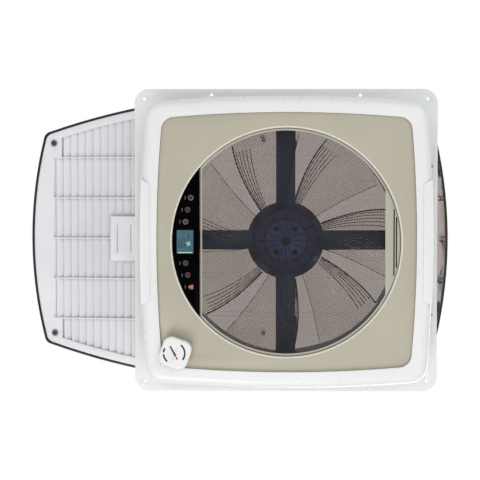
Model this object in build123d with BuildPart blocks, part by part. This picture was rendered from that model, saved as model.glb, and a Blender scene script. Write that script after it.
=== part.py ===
"""Powered caravan roof vent, made of the pieces that it comes apart into.

Millimetres, +Z up to the sky. The origin is the centre of the roof opening, on the outer skin of the
roof, which is the underside of the flange. The lid stands partly open, as it rests.
"""
import os
from math import atan2, cos, degrees, hypot, pi, radians, sin, sqrt

from build123d import *

os.makedirs("parts", exist_ok=True)

# Shared values
cut_overrun = 1.0                # how far a cutting shape runs past the face that it cuts
seat_gap = 0.3                   # between pieces that sit in one another
running_gap = 0.05               # radial, round anything that turns
press_gap = 0.02                 # radial, round anything that is pressed in

# Roof opening and flange
roof_opening = 356.0
roof_thickness = 40.0
opening_gap = 4.0
flange_side = 420.0
flange_thickness = 3.0
flange_corner_radius = 20.0
flange_hole_radius = 2.5
corner_hole_spacing = 393.0      # square of the four corner holes
edge_hole_spacing = 206.0        # between the two holes of one edge
edge_hole_lines = 403.0          # between the hole lines of opposite edges

# Neck below the roof skin and upstand above it
base_wall = 3.0
neck_depth = 36.0
neck_corner_radius = 18.0
upstand_half_width = 172.0
upstand_drive_reach = 190.0      # to the wall behind the lift shaft
upstand_height = 100.0
upstand_corner_radius = 16.0
lip_reach = 4.0
lip_height = 4.0
deck_height = 16.0
deck_thickness = 3.0
seal_height = 5.7
seal_width = 6.0

# Ceiling screws and the posts that take them
post_x = 161.5
post_y = 130.0
post_radius = 5.0
post_bore_depth = 18.0
ceiling_screw_radius = 1.7
ceiling_screw_head_radius = 3.6
ceiling_screw_length = 16.0

# Ceiling frame
frame_half_width = 198.0
frame_bulge = 8.5
frame_corner_radius = 24.0
frame_drop = 26.0                # from the ceiling down to its lowest face
frame_wall = 2.5
frame_edge_round = 12.0
ledge_thickness = 2.5
collar_gap = 1.5
collar_rise = 46.0               # collar height above the bezel seat
side_pad_half_length = 86.0
side_pad_width = 13.5
side_pad_slant = 7.0
side_pad_height = 1.0

# Bezel panel and its round aperture
bezel_half_width = 175.5
bezel_bulge = 8.0
bezel_corner_radius = 18.0
bezel_thickness = 3.0
bezel_recess = 5.0               # its face above the lowest face of the ceiling frame
aperture_radius = 155.0
aperture_collar_wall = 2.0
aperture_collar_height = 5.0
aperture_bevel = 1.2

# Fan shroud, and the four-armed motor carrier that stands on its lip
shroud_radius = 155.5
shroud_wall = 3.0
shroud_bottom = -46.0
shroud_top = 42.0
shroud_lip_width = 7.5
shroud_lip_thickness = 3.0
shroud_screw_count = 8
shroud_screw_radius = 1.5
shroud_screw_head_radius = 2.8
shroud_screw_length = 5.5
carrier_arm_width = 27.0
carrier_arm_depth = 12.0
carrier_skin = 3.0
carrier_disc_radius = 54.0
carrier_disc_thickness = 4.0
carrier_foot_margin = 1.5        # from the end of each arm to the rim of the lip
carrier_screw_inset = 3.0        # from the end of each arm
carrier_screw_offset = 6.5       # each side of the arm's middle line
carrier_lead_notch = 9.5         # from the end of the arm that holds the motor lead

# Fan motor
motor_radius = 36.0
motor_wall = 2.0
motor_length = 44.0
motor_shaft_radius = 4.0
motor_shaft_bottom = -15.5
motor_bush_radius = 7.0
motor_bush_length = 9.0
motor_cap_plate = 3.0
motor_cap_boss_radius = 10.0
motor_cap_boss_height = 8.0
magnet_thickness = 4.0
magnet_length = 30.0
magnet_arc = 140.0
air_gap = 2.0
armature_slots = 12
armature_slot_width = 2.6
armature_slot_depth = 9.0
armature_length = 28.0
motor_screw_radius = 2.0
motor_screw_head_radius = 3.4
motor_screw_head_height = 2.4
motor_screw_x = 13.0
motor_screw_y = 16.2

# Fan rotor
fan_radius = 152.0
blade_count = 7
blade_first_angle = -134.0       # leading edge at the hub, as the fan rests
blade_middle_angle = 29.0        # from the leading edge at the hub to the middle of the blade
blade_thickness = 2.2
blade_camber = 5.0
blade_level = -1.0
hub_radius = 44.0
hub_wall = 2.5
hub_bottom = -15.0
hub_height = 29.0
hub_web_level = 0.0
hub_web_thickness = 3.0
hub_inner_ring_radius = 31.0
hub_inner_ring_wall = 2.0
hub_rib_count = 12
hub_rib_thickness = 1.6
hub_boss_radius = 9.0
hub_boss_bottom = -10.0
hub_boss_height = 22.0
hub_window_radius = 3.8
nut_across = 13.0
nut_height = 5.0

# Lid, with heights above the roof as it lies closed
lid_left_end = -367.0
lid_right_end = 229.5
lid_left_radius = 580.0
lid_right_radius = 620.0
lid_half_width = 206.0
lid_side_radius = 1010.0
lid_widest_x = -18.0
lid_corner_radius = 12.0
lid_wall = 3.0
lid_rim_height = 14.0
lid_shoulder_height = 78.0
lid_shoulder_inset = 5.0
lid_brow_height = 106.0
lid_brow_inset = 8.0
lid_top_height = 122.0
lid_top_inset = 38.0
# climb above the brow and reach inwards from it, up the round of the crown
lid_crown_shares = ((0.45, 0.16), (0.78, 0.44), (1.0, 1.0))
lid_rest_tilt = 7.5
lid_full_tilt = 11.5
rib_pitch = 58.0
rib_pairs_each_side = 2
rib_pair_spacing = 5.4
rib_thickness = 1.4
rib_depth = 6.0
rib_lowest = 34.0
bead_width = 8.0
bead_height = 2.5
bead_start_x = -312.0
bead_end_x = 174.0
land_width = 2.5

# Lid liner with its louvres
liner_gap = 0.6
liner_step = 1.0                 # liner face above the lid's rim
liner_thickness = 3.0
liner_edge_x = -200.0
liner_border = 16.0
louvre_left_x = -335.0
louvre_corner_x = -323.0
louvre_right_x = -213.5
louvre_wall = 2.0
louvre_wall_height = 11.0
louvre_rib_height = 9.0
slat_start = 3.5
slat_pitch = 11.1
slat_width = 13.0
slat_thickness = 1.6
slat_angle = 30.0
liner_plate_left = -251.0
liner_plate_width = 40.0
liner_plate_half_length = 32.0
liner_plate_thickness = 2.4
liner_plate_groove = 0.8
liner_screw_left_x = -334.0
liner_screw_left_y = 137.0
liner_screw_right_x = -206.0
liner_screw_right_y = 176.5
liner_screw_radius = 1.8
liner_screw_head_radius = 4.2
liner_screw_head_height = 1.8
liner_screw_length = 12.0
lid_pillar_radius = 5.0
lid_pillar_height = 32.0
lid_gusset_reach = 22.0          # from the pillar's axis, as far as the lid's outer face
lid_gusset_thickness = 3.0

# Lid hinges
hinge_x = 196.0
hinge_z = 40.0
hinge_y = 100.0
hinge_eye_radius = 8.0
hinge_pin_radius = 3.0
hinge_pin_head_radius = 4.6
hinge_pin_head_height = 1.6
hinge_bracket_plate = 2.5
hinge_bracket_length = 28.0
hinge_bracket_height = 36.0
hinge_lug_thickness = 4.0
hinge_lug_spacing = 20.0         # between the middles of the two lugs of a bracket
hinge_leaf_plate_x = 208.5
hinge_leaf_plate = 2.5
hinge_leaf_height = 28.0
hinge_leaf_width = 20.0
hinge_arm_height = 14.0
hinge_pad_width = 24.0
hinge_pad_height = 32.0
hinge_screw_radius = 1.8
hinge_screw_head_radius = 3.1
hinge_screw_head_height = 1.9
bracket_screw_spacing = 26.0
leaf_screw_spacing = 21.0

# Lift shaft, arms, rollers and tracks
shaft_x = -168.0
shaft_z = 86.0
shaft_radius = 4.0
shaft_half_length = 168.3
shaft_bush_radius = 7.0
shaft_bush_length = 6.0
shaft_boss_radius = 10.0
shaft_boss_depth = 5.0
arm_length = 110.0
arm_closed_angle = -12.0
arm_ratio = 2.3                  # degrees of the lift shaft for a degree of the lid
arm_y = 160.0
arm_thickness = 5.0
arm_eye_radius = 11.0
arm_tip_radius = 7.0
roller_radius = 6.0
roller_width = 5.4
roller_y = 153.8
roller_pin_radius = 2.5
roller_pin_head_radius = 4.0
roller_pin_head_height = 1.4
track_thickness = 4.0
track_gap = 0.2                  # on each side of the roller's path
track_edge = 5.5
track_foot_width = 18.0
track_foot_thickness = 3.0
track_foot_margin = 9.0
track_screw_radius = 1.7
track_screw_head_radius = 3.2
track_screw_head_height = 1.8
track_boss_radius = 5.0
track_boss_drop = 7.0

# Knob shaft with its worm, and the wheel on the lift shaft
knob_x = -150.0
knob_y = 148.5
worm_module = 1.0
wheel_teeth = 24
wheel_width = 6.0
worm_root_radius = 4.75
worm_outer_radius = 7.0
worm_half_turns = 8
mesh_gap = 0.25
thread_root_width = 1.9
thread_tip_width = 0.7
tooth_root_width = 1.9
tooth_tip_width = 0.7
knob_shaft_radius = 3.0
knob_bush_radius = 5.0
knob_bush_length = 12.0
knob_boss_radius = 8.0
knob_boss_height = 12.0
knob_side = 40.0
knob_corner_radius = 12.0
knob_height = 13.0
knob_clearance = 1.4             # between the knob and the lowest face of the ceiling frame
knob_turned = 20.0
knob_edge_round = 3.0
knob_neck_radius = 10.0
knob_pointer_length = 17.0
knob_pointer_width = 2.0
knob_pointer_depth = 0.6
bracket_web = 3.0
bracket_web_y = 137.5
bracket_left_x = -182.0
bracket_right_x = -140.0
bracket_shelf_reach = 18.0
bracket_foot_reach = 16.0
bracket_shelf_gap = 15.2         # from the lift shaft's axis to the face of each shelf
drive_screw_radius = 2.0
drive_screw_head_radius = 3.5
drive_screw_head_height = 2.2
drive_screw_length = 7.0

# Control fascia, display, keys and board
fascia_chord_x = -117.4
fascia_thickness = 3.0
fascia_rise = 0.5                # fascia face above the bezel face
fascia_wall = 1.5
fascia_wall_height = 3.2
display_x = -137.3
display_y = -0.8
display_width = 22.5
display_length = 31.8
display_border = 2.2
display_depth = 3.0
display_sink = 0.5
key_radius = 4.0
key_gap = 0.25
key_flange_radius = 5.2
key_flange_thickness = 0.8
key_flange_seat = 0.2
key_proud = 0.6
key_travel = 0.6
key_arc_radius = 205.0
key_arc_centre_x = 66.5
key_nearest_y = 28.0
key_pitch = 16.2
board_inset = 3.2
board_thickness = 1.6
board_rise = 3.6
switch_side = 6.0
switch_button_radius = 1.5
switch_button_gap = 0.7
board_screw_radius = 1.2
board_screw_head_radius = 2.2
board_screw_head_height = 1.2
board_peg_radius = 2.4
board_peg_places = ((-124.0, -78.0), (-124.0, 77.0), (-146.5, -36.0))

# Insect screen
screen_gap = 0.35
screen_left_x = -116.9
screen_handle_x = 133.7
screen_handle_width = 10.8
screen_bar_width = 2.6
screen_ring_width = 3.4
screen_ledge = 1.6
screen_bottom_rise = 3.4         # above the bezel face
screen_thickness = 4.0
screen_slit_width = 1.8
screen_slit_spacing = 3.2
screen_slit_margin = 5.0         # between a slit's end and the rim of the screen
mesh_thickness = 0.6
mesh_ledge_height = 1.9
mesh_pitch = 15.0
mesh_wire = 1.3
mesh_margin = 2.0

# Supply terminal and motor lead
terminal_x = -148.0
terminal_y = -150.0
terminal_length = 24.0
terminal_width = 16.0
terminal_height = 12.0
terminal_hole_radius = 2.2
terminal_screw_radius = 2.6
lead_radius = 1.5
lead_hole_gap = 1.3              # room for the lead's bend where it passes the lip
lead_out_rise = 18.0             # above the underside of the motor can
lead_run_rise = 2.5              # between the lead's axis and the channel of the carrier arm
lead_inner_reach = 12.0
lead_slope_reach = 18.0
lead_down_radius = 162.8
lead_bend = 9.0
lead_slope_bend = 16.0
plug_length = 8.0
plug_width = 7.0
plug_height = 5.0

# Levels and places that follow from the sizes above
neck_half_width = roof_opening / 2 - opening_gap
neck_inner = neck_half_width - base_wall
deck_top = deck_height + deck_thickness
carrier_height = deck_top + shroud_lip_thickness
ceiling_z = -roof_thickness
frame_low_z = ceiling_z - frame_drop
bezel_face_z = frame_low_z + bezel_recess
bezel_seat_z = bezel_face_z + bezel_thickness
ledge_top_z = bezel_seat_z + ledge_thickness
collar_outer = neck_inner - collar_gap
collar_top_z = bezel_seat_z + collar_rise
aperture_collar_radius = aperture_radius + aperture_collar_wall
shroud_outer = shroud_radius + shroud_wall
shroud_lip_radius = shroud_outer + shroud_lip_width
shroud_screw_circle = shroud_outer + shroud_lip_width / 2
motor_bottom = carrier_height + carrier_disc_thickness
motor_top = motor_bottom + motor_length
fascia_face_z = bezel_face_z + fascia_rise
fascia_back_z = fascia_face_z + fascia_thickness
board_z = fascia_back_z + board_rise
board_top_z = board_z + board_thickness
lead_out_z = carrier_height + carrier_disc_thickness + lead_out_rise
lead_run_z = carrier_height + carrier_skin + lead_run_rise
lead_low_z = board_top_z + plug_height / 2
lead_plug_x = board_inset + seat_gap - aperture_radius
wheel_radius = worm_module * wheel_teeth / 2
worm_lead = pi * worm_module
knob_top_z = frame_low_z - knob_clearance
knob_bottom_z = knob_top_z - knob_height
seal_top = upstand_height + seal_height
lid_ceiling = lid_top_height - lid_wall
liner_bottom = lid_rim_height + liner_step


# Planes and outlines

def facing_side(x, y, z, direction=(1, 0, 0)):
    """Upright plane across the vent: its normal points to -Y and its local Y is up."""
    return Plane(origin=(x, y, z), x_dir=direction, z_dir=(0, -1, 0))


def facing_end(x, y=0.0, z=0.0):
    """Upright plane whose normal points to +X, with local X along the vent's Y and local Y up."""
    return Plane(origin=(x, y, z), x_dir=(0, 1, 0), z_dir=(1, 0, 0))


lid_sine = sin(radians(lid_rest_tilt))
lid_cosine = cos(radians(lid_rest_tilt))
lid_along = (lid_cosine, 0, -lid_sine)
lid_up = (lid_sine, 0, lid_cosine)


def lid_point(x, y, height):
    """Where a point of the closed lid lies with the lid at its rest tilt."""
    reach, rise = x - hinge_x, height - hinge_z
    return (
        hinge_x + reach * lid_cosine + rise * lid_sine,
        y,
        hinge_z - reach * lid_sine + rise * lid_cosine,
    )


def lid_level(height):
    """Plane that lies level at a height on the closed lid, and tilts with it."""
    return Plane(origin=lid_point(0, 0, height), x_dir=lid_along, z_dir=lid_up)


def lid_side(y):
    """Upright plane on the lid, facing -Y, in the closed lid's X and height."""
    return Plane(origin=lid_point(0, y, 0), x_dir=lid_along, z_dir=(0, -1, 0))


def lid_end(x):
    """Upright plane on the lid, facing along it, in the closed lid's Y and height."""
    return Plane(origin=lid_point(x, 0, 0), x_dir=(0, 1, 0), z_dir=lid_along)


def bowed_square(place, half_width, bulge, corner_radius):
    """Square with rounded corners and sides that bow outwards."""
    corner = half_width - bulge
    with BuildSketch(place) as outline:
        with BuildLine():
            ThreePointArc((corner, -corner), (half_width, 0), (corner, corner))
            ThreePointArc((corner, corner), (0, half_width), (-corner, corner))
            ThreePointArc((-corner, corner), (-half_width, 0), (-corner, -corner))
            ThreePointArc((-corner, -corner), (0, -half_width), (corner, -corner))
        make_face()
        fillet(outline.vertices(), radius=corner_radius)
    return outline.sketch


def upstand_outline(place, outset):
    """Outline of the upstand's outer face, moved outwards, or inwards if negative."""
    length = upstand_half_width + upstand_drive_reach
    middle = (upstand_half_width - upstand_drive_reach) / 2
    with BuildSketch(place) as outline:
        with Locations((middle, 0)):
            RectangleRounded(
                length + 2 * outset,
                2 * (upstand_half_width + outset),
                upstand_corner_radius + outset,
            )
    return outline.sketch


def arcs_meeting(side_centre, side_radius, end_centre, end_radius, towards):
    """Corner where a side arc meets an end arc, on the +Y side and towards one end."""
    apart_x, apart_y = end_centre[0] - side_centre[0], end_centre[1] - side_centre[1]
    apart = hypot(apart_x, apart_y)
    along = (side_radius**2 - end_radius**2 + apart**2) / (2 * apart)
    aside = sqrt(side_radius**2 - along**2)
    foot_x = side_centre[0] + along * apart_x / apart
    foot_y = side_centre[1] + along * apart_y / apart
    corners = [
        (foot_x + turn * aside * apart_y / apart, foot_y - turn * aside * apart_x / apart)
        for turn in (1, -1)
    ]
    upper = [corner for corner in corners if corner[1] > 0]
    return max(upper, key=lambda corner: corner[0] * towards)


def lid_outline(height, inset):
    """Outline of the lid at one height, drawn in from its rim outline by an inset."""
    half_width = lid_half_width - inset
    side_radius = lid_side_radius - inset
    left, right = lid_left_end + inset, lid_right_end - inset
    side_centre = (lid_widest_x, half_width - side_radius)
    left_centre = (lid_left_end + lid_left_radius, 0)
    right_centre = (lid_right_end - lid_right_radius, 0)
    left_x, left_y = arcs_meeting(side_centre, side_radius, left_centre, lid_left_radius - inset, -1)
    right_x, right_y = arcs_meeting(side_centre, side_radius, right_centre, lid_right_radius - inset, 1)
    with BuildSketch(lid_level(height)) as outline:
        with BuildLine():
            ThreePointArc((left_x, -left_y), (left, 0), (left_x, left_y))
            ThreePointArc((left_x, left_y), (lid_widest_x, half_width), (right_x, right_y))
            ThreePointArc((right_x, right_y), (right, 0), (right_x, -right_y))
            ThreePointArc((right_x, -right_y), (lid_widest_x, -half_width), (left_x, -left_y))
        make_face()
        fillet(outline.vertices(), radius=lid_corner_radius)
    return outline.sketch


def fascia_outline(place, inset):
    """Segment of the aperture that the control fascia fills, drawn in by an inset."""
    radius = aperture_radius - seat_gap - inset
    chord = fascia_chord_x - inset
    half_chord = sqrt(radius**2 - chord**2)
    with BuildSketch(place) as outline:
        with BuildLine():
            ThreePointArc((chord, half_chord), (-radius, 0), (chord, -half_chord))
            Line((chord, -half_chord), (chord, half_chord))
        make_face()
    return outline.sketch


# Base moulding

corner_holes = GridLocations(corner_hole_spacing, corner_hole_spacing, 2, 2)
edge_holes_y = GridLocations(edge_hole_spacing, edge_hole_lines, 2, 2)
edge_holes_x = GridLocations(edge_hole_lines, edge_hole_spacing, 2, 2)

with BuildPart() as roof_base:
    with BuildSketch():
        RectangleRounded(flange_side, flange_side, flange_corner_radius)
    extrude(amount=flange_thickness)
    extrude(upstand_outline(Plane.XY, 0), amount=upstand_height)
    extrude(upstand_outline(Plane.XY.offset(upstand_height - lip_height), lip_reach), amount=lip_height)
    extrude(
        upstand_outline(Plane.XY.offset(flange_thickness), -base_wall),
        amount=deck_height - flange_thickness,
        mode=Mode.SUBTRACT,
    )
    extrude(
        upstand_outline(Plane.XY.offset(deck_top), -base_wall),
        amount=upstand_height,
        mode=Mode.SUBTRACT,
    )
    with BuildSketch(Plane.XY.offset(-neck_depth)):
        RectangleRounded(2 * neck_half_width, 2 * neck_half_width, neck_corner_radius)
    extrude(amount=neck_depth + flange_thickness / 2)
    with BuildSketch(Plane.XY.offset(-neck_depth - cut_overrun)):
        RectangleRounded(2 * neck_inner, 2 * neck_inner, neck_corner_radius - base_wall)
    extrude(amount=neck_depth + flange_thickness + 2 * cut_overrun, mode=Mode.SUBTRACT)
    # posts for the ceiling screws hang from the deck
    with BuildSketch(Plane.XY.offset(ledge_top_z)):
        with GridLocations(2 * post_x, 2 * post_y, 2, 2):
            Circle(post_radius)
    extrude(amount=deck_height - ledge_top_z + deck_thickness / 2)
    with BuildSketch(Plane.XY.offset(ledge_top_z - cut_overrun)):
        with GridLocations(2 * post_x, 2 * post_y, 2, 2):
            Circle(ceiling_screw_radius + press_gap)
    extrude(amount=post_bore_depth + cut_overrun, mode=Mode.SUBTRACT)
    # bearing bosses of the lift shaft on both side walls
    for side in (1, -1):
        with BuildSketch(facing_side(shaft_x, side * upstand_half_width - side * base_wall / 2, shaft_z)):
            Circle(shaft_boss_radius)
        extrude(amount=side * (shaft_boss_depth + base_wall / 2))
    for side in (1, -1):
        wall_inner = upstand_half_width - base_wall
        with BuildSketch(facing_side(shaft_x, side * (wall_inner + base_wall / 2), shaft_z)):
            Circle(shaft_bush_radius + press_gap)
        extrude(amount=side * (shaft_boss_depth + base_wall / 2 + cut_overrun), mode=Mode.SUBTRACT)
    # throat for the shroud, and holes in the deck for the knob shaft and the motor lead
    with BuildSketch(Plane.XY.offset(deck_height - cut_overrun)):
        Circle(shroud_outer + seat_gap)
        with Locations((knob_x, knob_y)):
            Circle(knob_shaft_radius + seat_gap)
        with Locations((-lead_down_radius, 0)):
            Circle(lead_radius + lead_hole_gap)
    extrude(amount=deck_thickness + 2 * cut_overrun, mode=Mode.SUBTRACT)
    with BuildSketch(Plane.XY.offset(deck_height - cut_overrun)):
        with PolarLocations(shroud_screw_circle, shroud_screw_count, start_angle=180 / shroud_screw_count):
            Circle(shroud_screw_radius + press_gap)
        with Locations(
            (bracket_left_x + bracket_foot_reach / 2, bracket_web_y - bracket_foot_reach / 2),
            (bracket_right_x - bracket_foot_reach / 2, bracket_web_y - bracket_foot_reach / 2),
        ):
            Circle(drive_screw_radius + press_gap)
    extrude(amount=deck_thickness + 2 * cut_overrun, mode=Mode.SUBTRACT)
    # holes for the roof screws
    with BuildSketch(Plane.XY.offset(-cut_overrun)):
        with corner_holes:
            Circle(flange_hole_radius)
        with edge_holes_y:
            Circle(flange_hole_radius)
        with edge_holes_x:
            Circle(flange_hole_radius)
    extrude(amount=flange_thickness + 2 * cut_overrun, mode=Mode.SUBTRACT)
    # holes for the hinge screws
    with BuildSketch(facing_end(upstand_half_width - base_wall - cut_overrun, 0, hinge_z)):
        with GridLocations(2 * hinge_y, bracket_screw_spacing, 2, 2):
            Circle(hinge_screw_radius + press_gap)
    extrude(amount=base_wall + 2 * cut_overrun, mode=Mode.SUBTRACT)
roof_base.part.label = "roof_base"
export_step(roof_base.part, "parts/roof_base.step")

with BuildPart() as rim_seal:
    seal_outset = lip_reach - (lip_reach + base_wall - seal_width) / 2
    extrude(upstand_outline(Plane.XY.offset(upstand_height), seal_outset), amount=seal_height)
    extrude(
        upstand_outline(Plane.XY.offset(upstand_height), seal_outset - seal_width),
        amount=seal_height,
        mode=Mode.SUBTRACT,
    )
    rim_edges = rim_seal.faces().sort_by(Axis.Z)[-1].edges()
    fillet(rim_edges, radius=seal_width / 3)
rim_seal.part.label = "rim_seal"
export_step(rim_seal.part, "parts/rim_seal.step")

# Ceiling frame, screws and bezel

with BuildPart() as ceiling_frame:
    extrude(
        bowed_square(Plane.XY.offset(frame_low_z), frame_half_width, frame_bulge, frame_corner_radius),
        amount=frame_drop,
    )
    fillet(ceiling_frame.faces().sort_by(Axis.Z)[0].edges(), radius=frame_edge_round)
    with BuildSketch(Plane.XY.offset(frame_low_z - side_pad_height)):
        for side in (1, -1):
            with BuildLine():
                Polyline(
                    (side * frame_half_width, -side_pad_half_length),
                    (side * frame_half_width, side_pad_half_length),
                    (side * (frame_half_width - side_pad_width), side_pad_half_length - side_pad_slant),
                    (side * (frame_half_width - side_pad_width), side_pad_slant - side_pad_half_length),
                    close=True,
                )
            make_face()
        add(
            bowed_square(
                Plane.XY.offset(frame_low_z - side_pad_height),
                frame_half_width,
                frame_bulge,
                frame_corner_radius,
            ),
            mode=Mode.INTERSECT,
        )
    extrude(amount=side_pad_height + frame_edge_round)
    with BuildPart(mode=Mode.PRIVATE) as frame_hollow:
        extrude(
            bowed_square(
                Plane.XY.offset(frame_low_z + frame_wall),
                frame_half_width - frame_wall,
                frame_bulge,
                frame_corner_radius - frame_wall,
            ),
            amount=frame_drop,
        )
        fillet(frame_hollow.faces().sort_by(Axis.Z)[0].edges(), radius=frame_edge_round - frame_wall)
    add(frame_hollow.part, mode=Mode.SUBTRACT)
    # wall round the bezel's recess, with the ledge above it
    recess_half = bezel_half_width + seat_gap
    extrude(
        bowed_square(
            Plane.XY.offset(frame_low_z), recess_half + frame_wall, bezel_bulge, bezel_corner_radius
        ),
        amount=ledge_top_z - frame_low_z,
    )
    extrude(
        bowed_square(Plane.XY.offset(frame_low_z), recess_half, bezel_bulge, bezel_corner_radius),
        amount=bezel_seat_z - frame_low_z,
        mode=Mode.SUBTRACT,
    )
    with BuildSketch(Plane.XY.offset(bezel_seat_z)):
        RectangleRounded(2 * collar_outer, 2 * collar_outer, neck_corner_radius - base_wall)
        RectangleRounded(
            2 * (collar_outer - frame_wall),
            2 * (collar_outer - frame_wall),
            neck_corner_radius - base_wall - frame_wall,
            mode=Mode.SUBTRACT,
        )
    extrude(amount=collar_rise)
    with BuildSketch(Plane.XY.offset(frame_low_z - cut_overrun)):
        Circle(shroud_outer + lip_reach)
        with Locations((knob_x, knob_y)):
            Circle(knob_boss_radius + seat_gap)
    extrude(amount=frame_drop, mode=Mode.SUBTRACT)
    with BuildSketch(Plane.XY.offset(bezel_seat_z - cut_overrun)):
        with GridLocations(2 * post_x, 2 * post_y, 2, 2):
            Circle(ceiling_screw_radius + press_gap)
    extrude(amount=ledge_thickness + 2 * cut_overrun, mode=Mode.SUBTRACT)
    for post_side in GridLocations(2 * post_x, 2 * post_y, 2, 2):
        with Locations(Plane.XY.offset(bezel_seat_z).location * post_side):
            Cone(
                ceiling_screw_head_radius + press_gap,
                ceiling_screw_radius + press_gap,
                ledge_thickness - press_gap,
                align=(Align.CENTER, Align.CENTER, Align.MIN),
                mode=Mode.SUBTRACT,
            )
ceiling_frame.part.label = "ceiling_frame"
export_step(ceiling_frame.part, "parts/ceiling_frame.step")

with BuildPart() as ceiling_screws:
    for post_side in GridLocations(2 * post_x, 2 * post_y, 2, 2):
        with Locations(Plane.XY.offset(bezel_seat_z + press_gap).location * post_side):
            Cone(
                ceiling_screw_head_radius,
                ceiling_screw_radius,
                ledge_thickness - 2 * press_gap,
                align=(Align.CENTER, Align.CENTER, Align.MIN),
            )
            Cylinder(
                ceiling_screw_radius,
                ceiling_screw_length,
                align=(Align.CENTER, Align.CENTER, Align.MIN),
            )
ceiling_screws.part.label = "ceiling_screws"
export_step(ceiling_screws.part, "parts/ceiling_screws.step")

with BuildPart() as bezel_panel:
    extrude(
        bowed_square(Plane.XY.offset(bezel_face_z), bezel_half_width, bezel_bulge, bezel_corner_radius),
        amount=bezel_thickness,
    )
    with BuildSketch(Plane.XY.offset(bezel_face_z)):
        Circle(aperture_collar_radius)
    extrude(amount=bezel_thickness + aperture_collar_height)
    with BuildSketch(Plane.XY.offset(bezel_face_z)):
        with Locations((knob_x, knob_y)):
            Circle(knob_boss_radius)
    extrude(amount=bezel_thickness + knob_boss_height)
    with BuildSketch(Plane.XY.offset(bezel_face_z - cut_overrun)):
        Circle(aperture_radius)
        with Locations((knob_x, knob_y)):
            Circle(knob_bush_radius + press_gap)
    extrude(
        amount=bezel_thickness + aperture_collar_height + knob_boss_height + cut_overrun,
        mode=Mode.SUBTRACT,
    )
    aperture_edge = bezel_panel.faces().sort_by(Axis.Z)[0].edges().filter_by(
        lambda edge: edge.geom_type == GeomType.CIRCLE and abs(edge.radius - aperture_radius) < press_gap
    )
    chamfer(aperture_edge, length=aperture_bevel)
bezel_panel.part.label = "bezel_panel"
export_step(bezel_panel.part, "parts/bezel_panel.step")

# Control fascia, display, board and keys

key_rows = [side * (key_nearest_y + step * key_pitch) for side in (-1, 1) for step in range(3)]
key_places = [(key_arc_centre_x - sqrt(key_arc_radius**2 - row**2), row) for row in key_rows]

with BuildPart() as control_fascia:
    extrude(fascia_outline(Plane.XY.offset(fascia_face_z), 0), amount=fascia_thickness)
    extrude(fascia_outline(Plane.XY.offset(fascia_back_z), 0), amount=fascia_wall_height)
    extrude(
        fascia_outline(Plane.XY.offset(fascia_back_z), fascia_wall),
        amount=fascia_wall_height,
        mode=Mode.SUBTRACT,
    )
    with BuildSketch(Plane.XY.offset(fascia_back_z)):
        with Locations(*board_peg_places):
            Circle(board_peg_radius)
    extrude(amount=board_rise)
    with BuildSketch(Plane.XY.offset(fascia_back_z)):
        with Locations(*board_peg_places):
            Circle(board_screw_radius + press_gap)
    extrude(amount=board_rise, mode=Mode.SUBTRACT)
    with BuildSketch(Plane.XY.offset(fascia_face_z)):
        with Locations((display_x, display_y)):
            Rectangle(display_width, display_length)
        with Locations(*key_places):
            Circle(key_radius + key_gap)
    extrude(amount=fascia_thickness, mode=Mode.SUBTRACT)
control_fascia.part.label = "control_fascia"
export_step(control_fascia.part, "parts/control_fascia.step")

with BuildPart() as lcd_display:
    with BuildSketch(Plane.XY.offset(fascia_face_z + display_sink)):
        with Locations((display_x, display_y)):
            Rectangle(display_width - 2 * press_gap, display_length - 2 * press_gap)
    extrude(amount=fascia_thickness - display_sink)
    with BuildSketch(Plane.XY.offset(fascia_back_z)):
        with Locations((display_x, display_y)):
            Rectangle(display_width + display_border, display_length + 2 * display_border)
    extrude(amount=display_depth)
lcd_display.part.label = "lcd_display"
export_step(lcd_display.part, "parts/lcd_display.step")

with BuildPart() as control_board:
    extrude(fascia_outline(Plane.XY.offset(board_z), board_inset), amount=board_thickness)
    with BuildSketch(Plane.XY.offset(board_z)):
        with Locations(*board_peg_places):
            Circle(board_screw_radius + press_gap)
    extrude(amount=board_thickness, mode=Mode.SUBTRACT)
control_board.part.label = "control_board"
export_step(control_board.part, "parts/control_board.step")

switch_top_z = fascia_back_z + key_flange_seat + key_flange_thickness + switch_button_gap

with BuildPart() as key_switches:
    switch_body_z = (switch_top_z + board_z) / 2
    with BuildSketch(Plane.XY.offset(switch_body_z)):
        with Locations(*key_places):
            Rectangle(switch_side, switch_side)
    extrude(amount=board_z - switch_body_z)
    with BuildSketch(Plane.XY.offset(switch_top_z)):
        with Locations(*key_places):
            Circle(switch_button_radius)
    extrude(amount=switch_body_z - switch_top_z)
key_switches.part.label = "key_switches"
export_step(key_switches.part, "parts/key_switches.step")

with BuildPart() as board_screws:
    with BuildSketch(Plane.XY.offset(board_z + board_thickness)):
        with Locations(*board_peg_places):
            Circle(board_screw_head_radius)
    extrude(amount=board_screw_head_height)
    with BuildSketch(Plane.XY.offset(board_z + board_thickness)):
        with Locations(*board_peg_places):
            Circle(board_screw_radius)
    extrude(amount=-(board_thickness + board_rise - press_gap))
board_screws.part.label = "board_screws"
export_step(board_screws.part, "parts/board_screws.step")

key_names = ("power", "auto", "slower", "faster", "timer", "direction")
key_order = (2, 1, 0, 3, 4, 5)   # from the top of the photograph's panel to its bottom

for key_name, place in zip(key_names, key_order):
    with BuildPart() as key:
        with BuildSketch(Plane.XY.offset(fascia_face_z - key_proud)):
            with Locations(key_places[place]):
                Circle(key_radius)
        extrude(amount=key_proud + fascia_thickness + key_flange_seat)
        with BuildSketch(Plane.XY.offset(fascia_back_z + key_flange_seat)):
            with Locations(key_places[place]):
                Circle(key_flange_radius)
        extrude(amount=key_flange_thickness)
        fillet(key.faces().sort_by(Axis.Z)[0].edges(), radius=key_proud)
    key.part.label = f"key_{key_name}"
    export_step(key.part, f"parts/key_{key_name}.step")

# Insect screen

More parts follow.
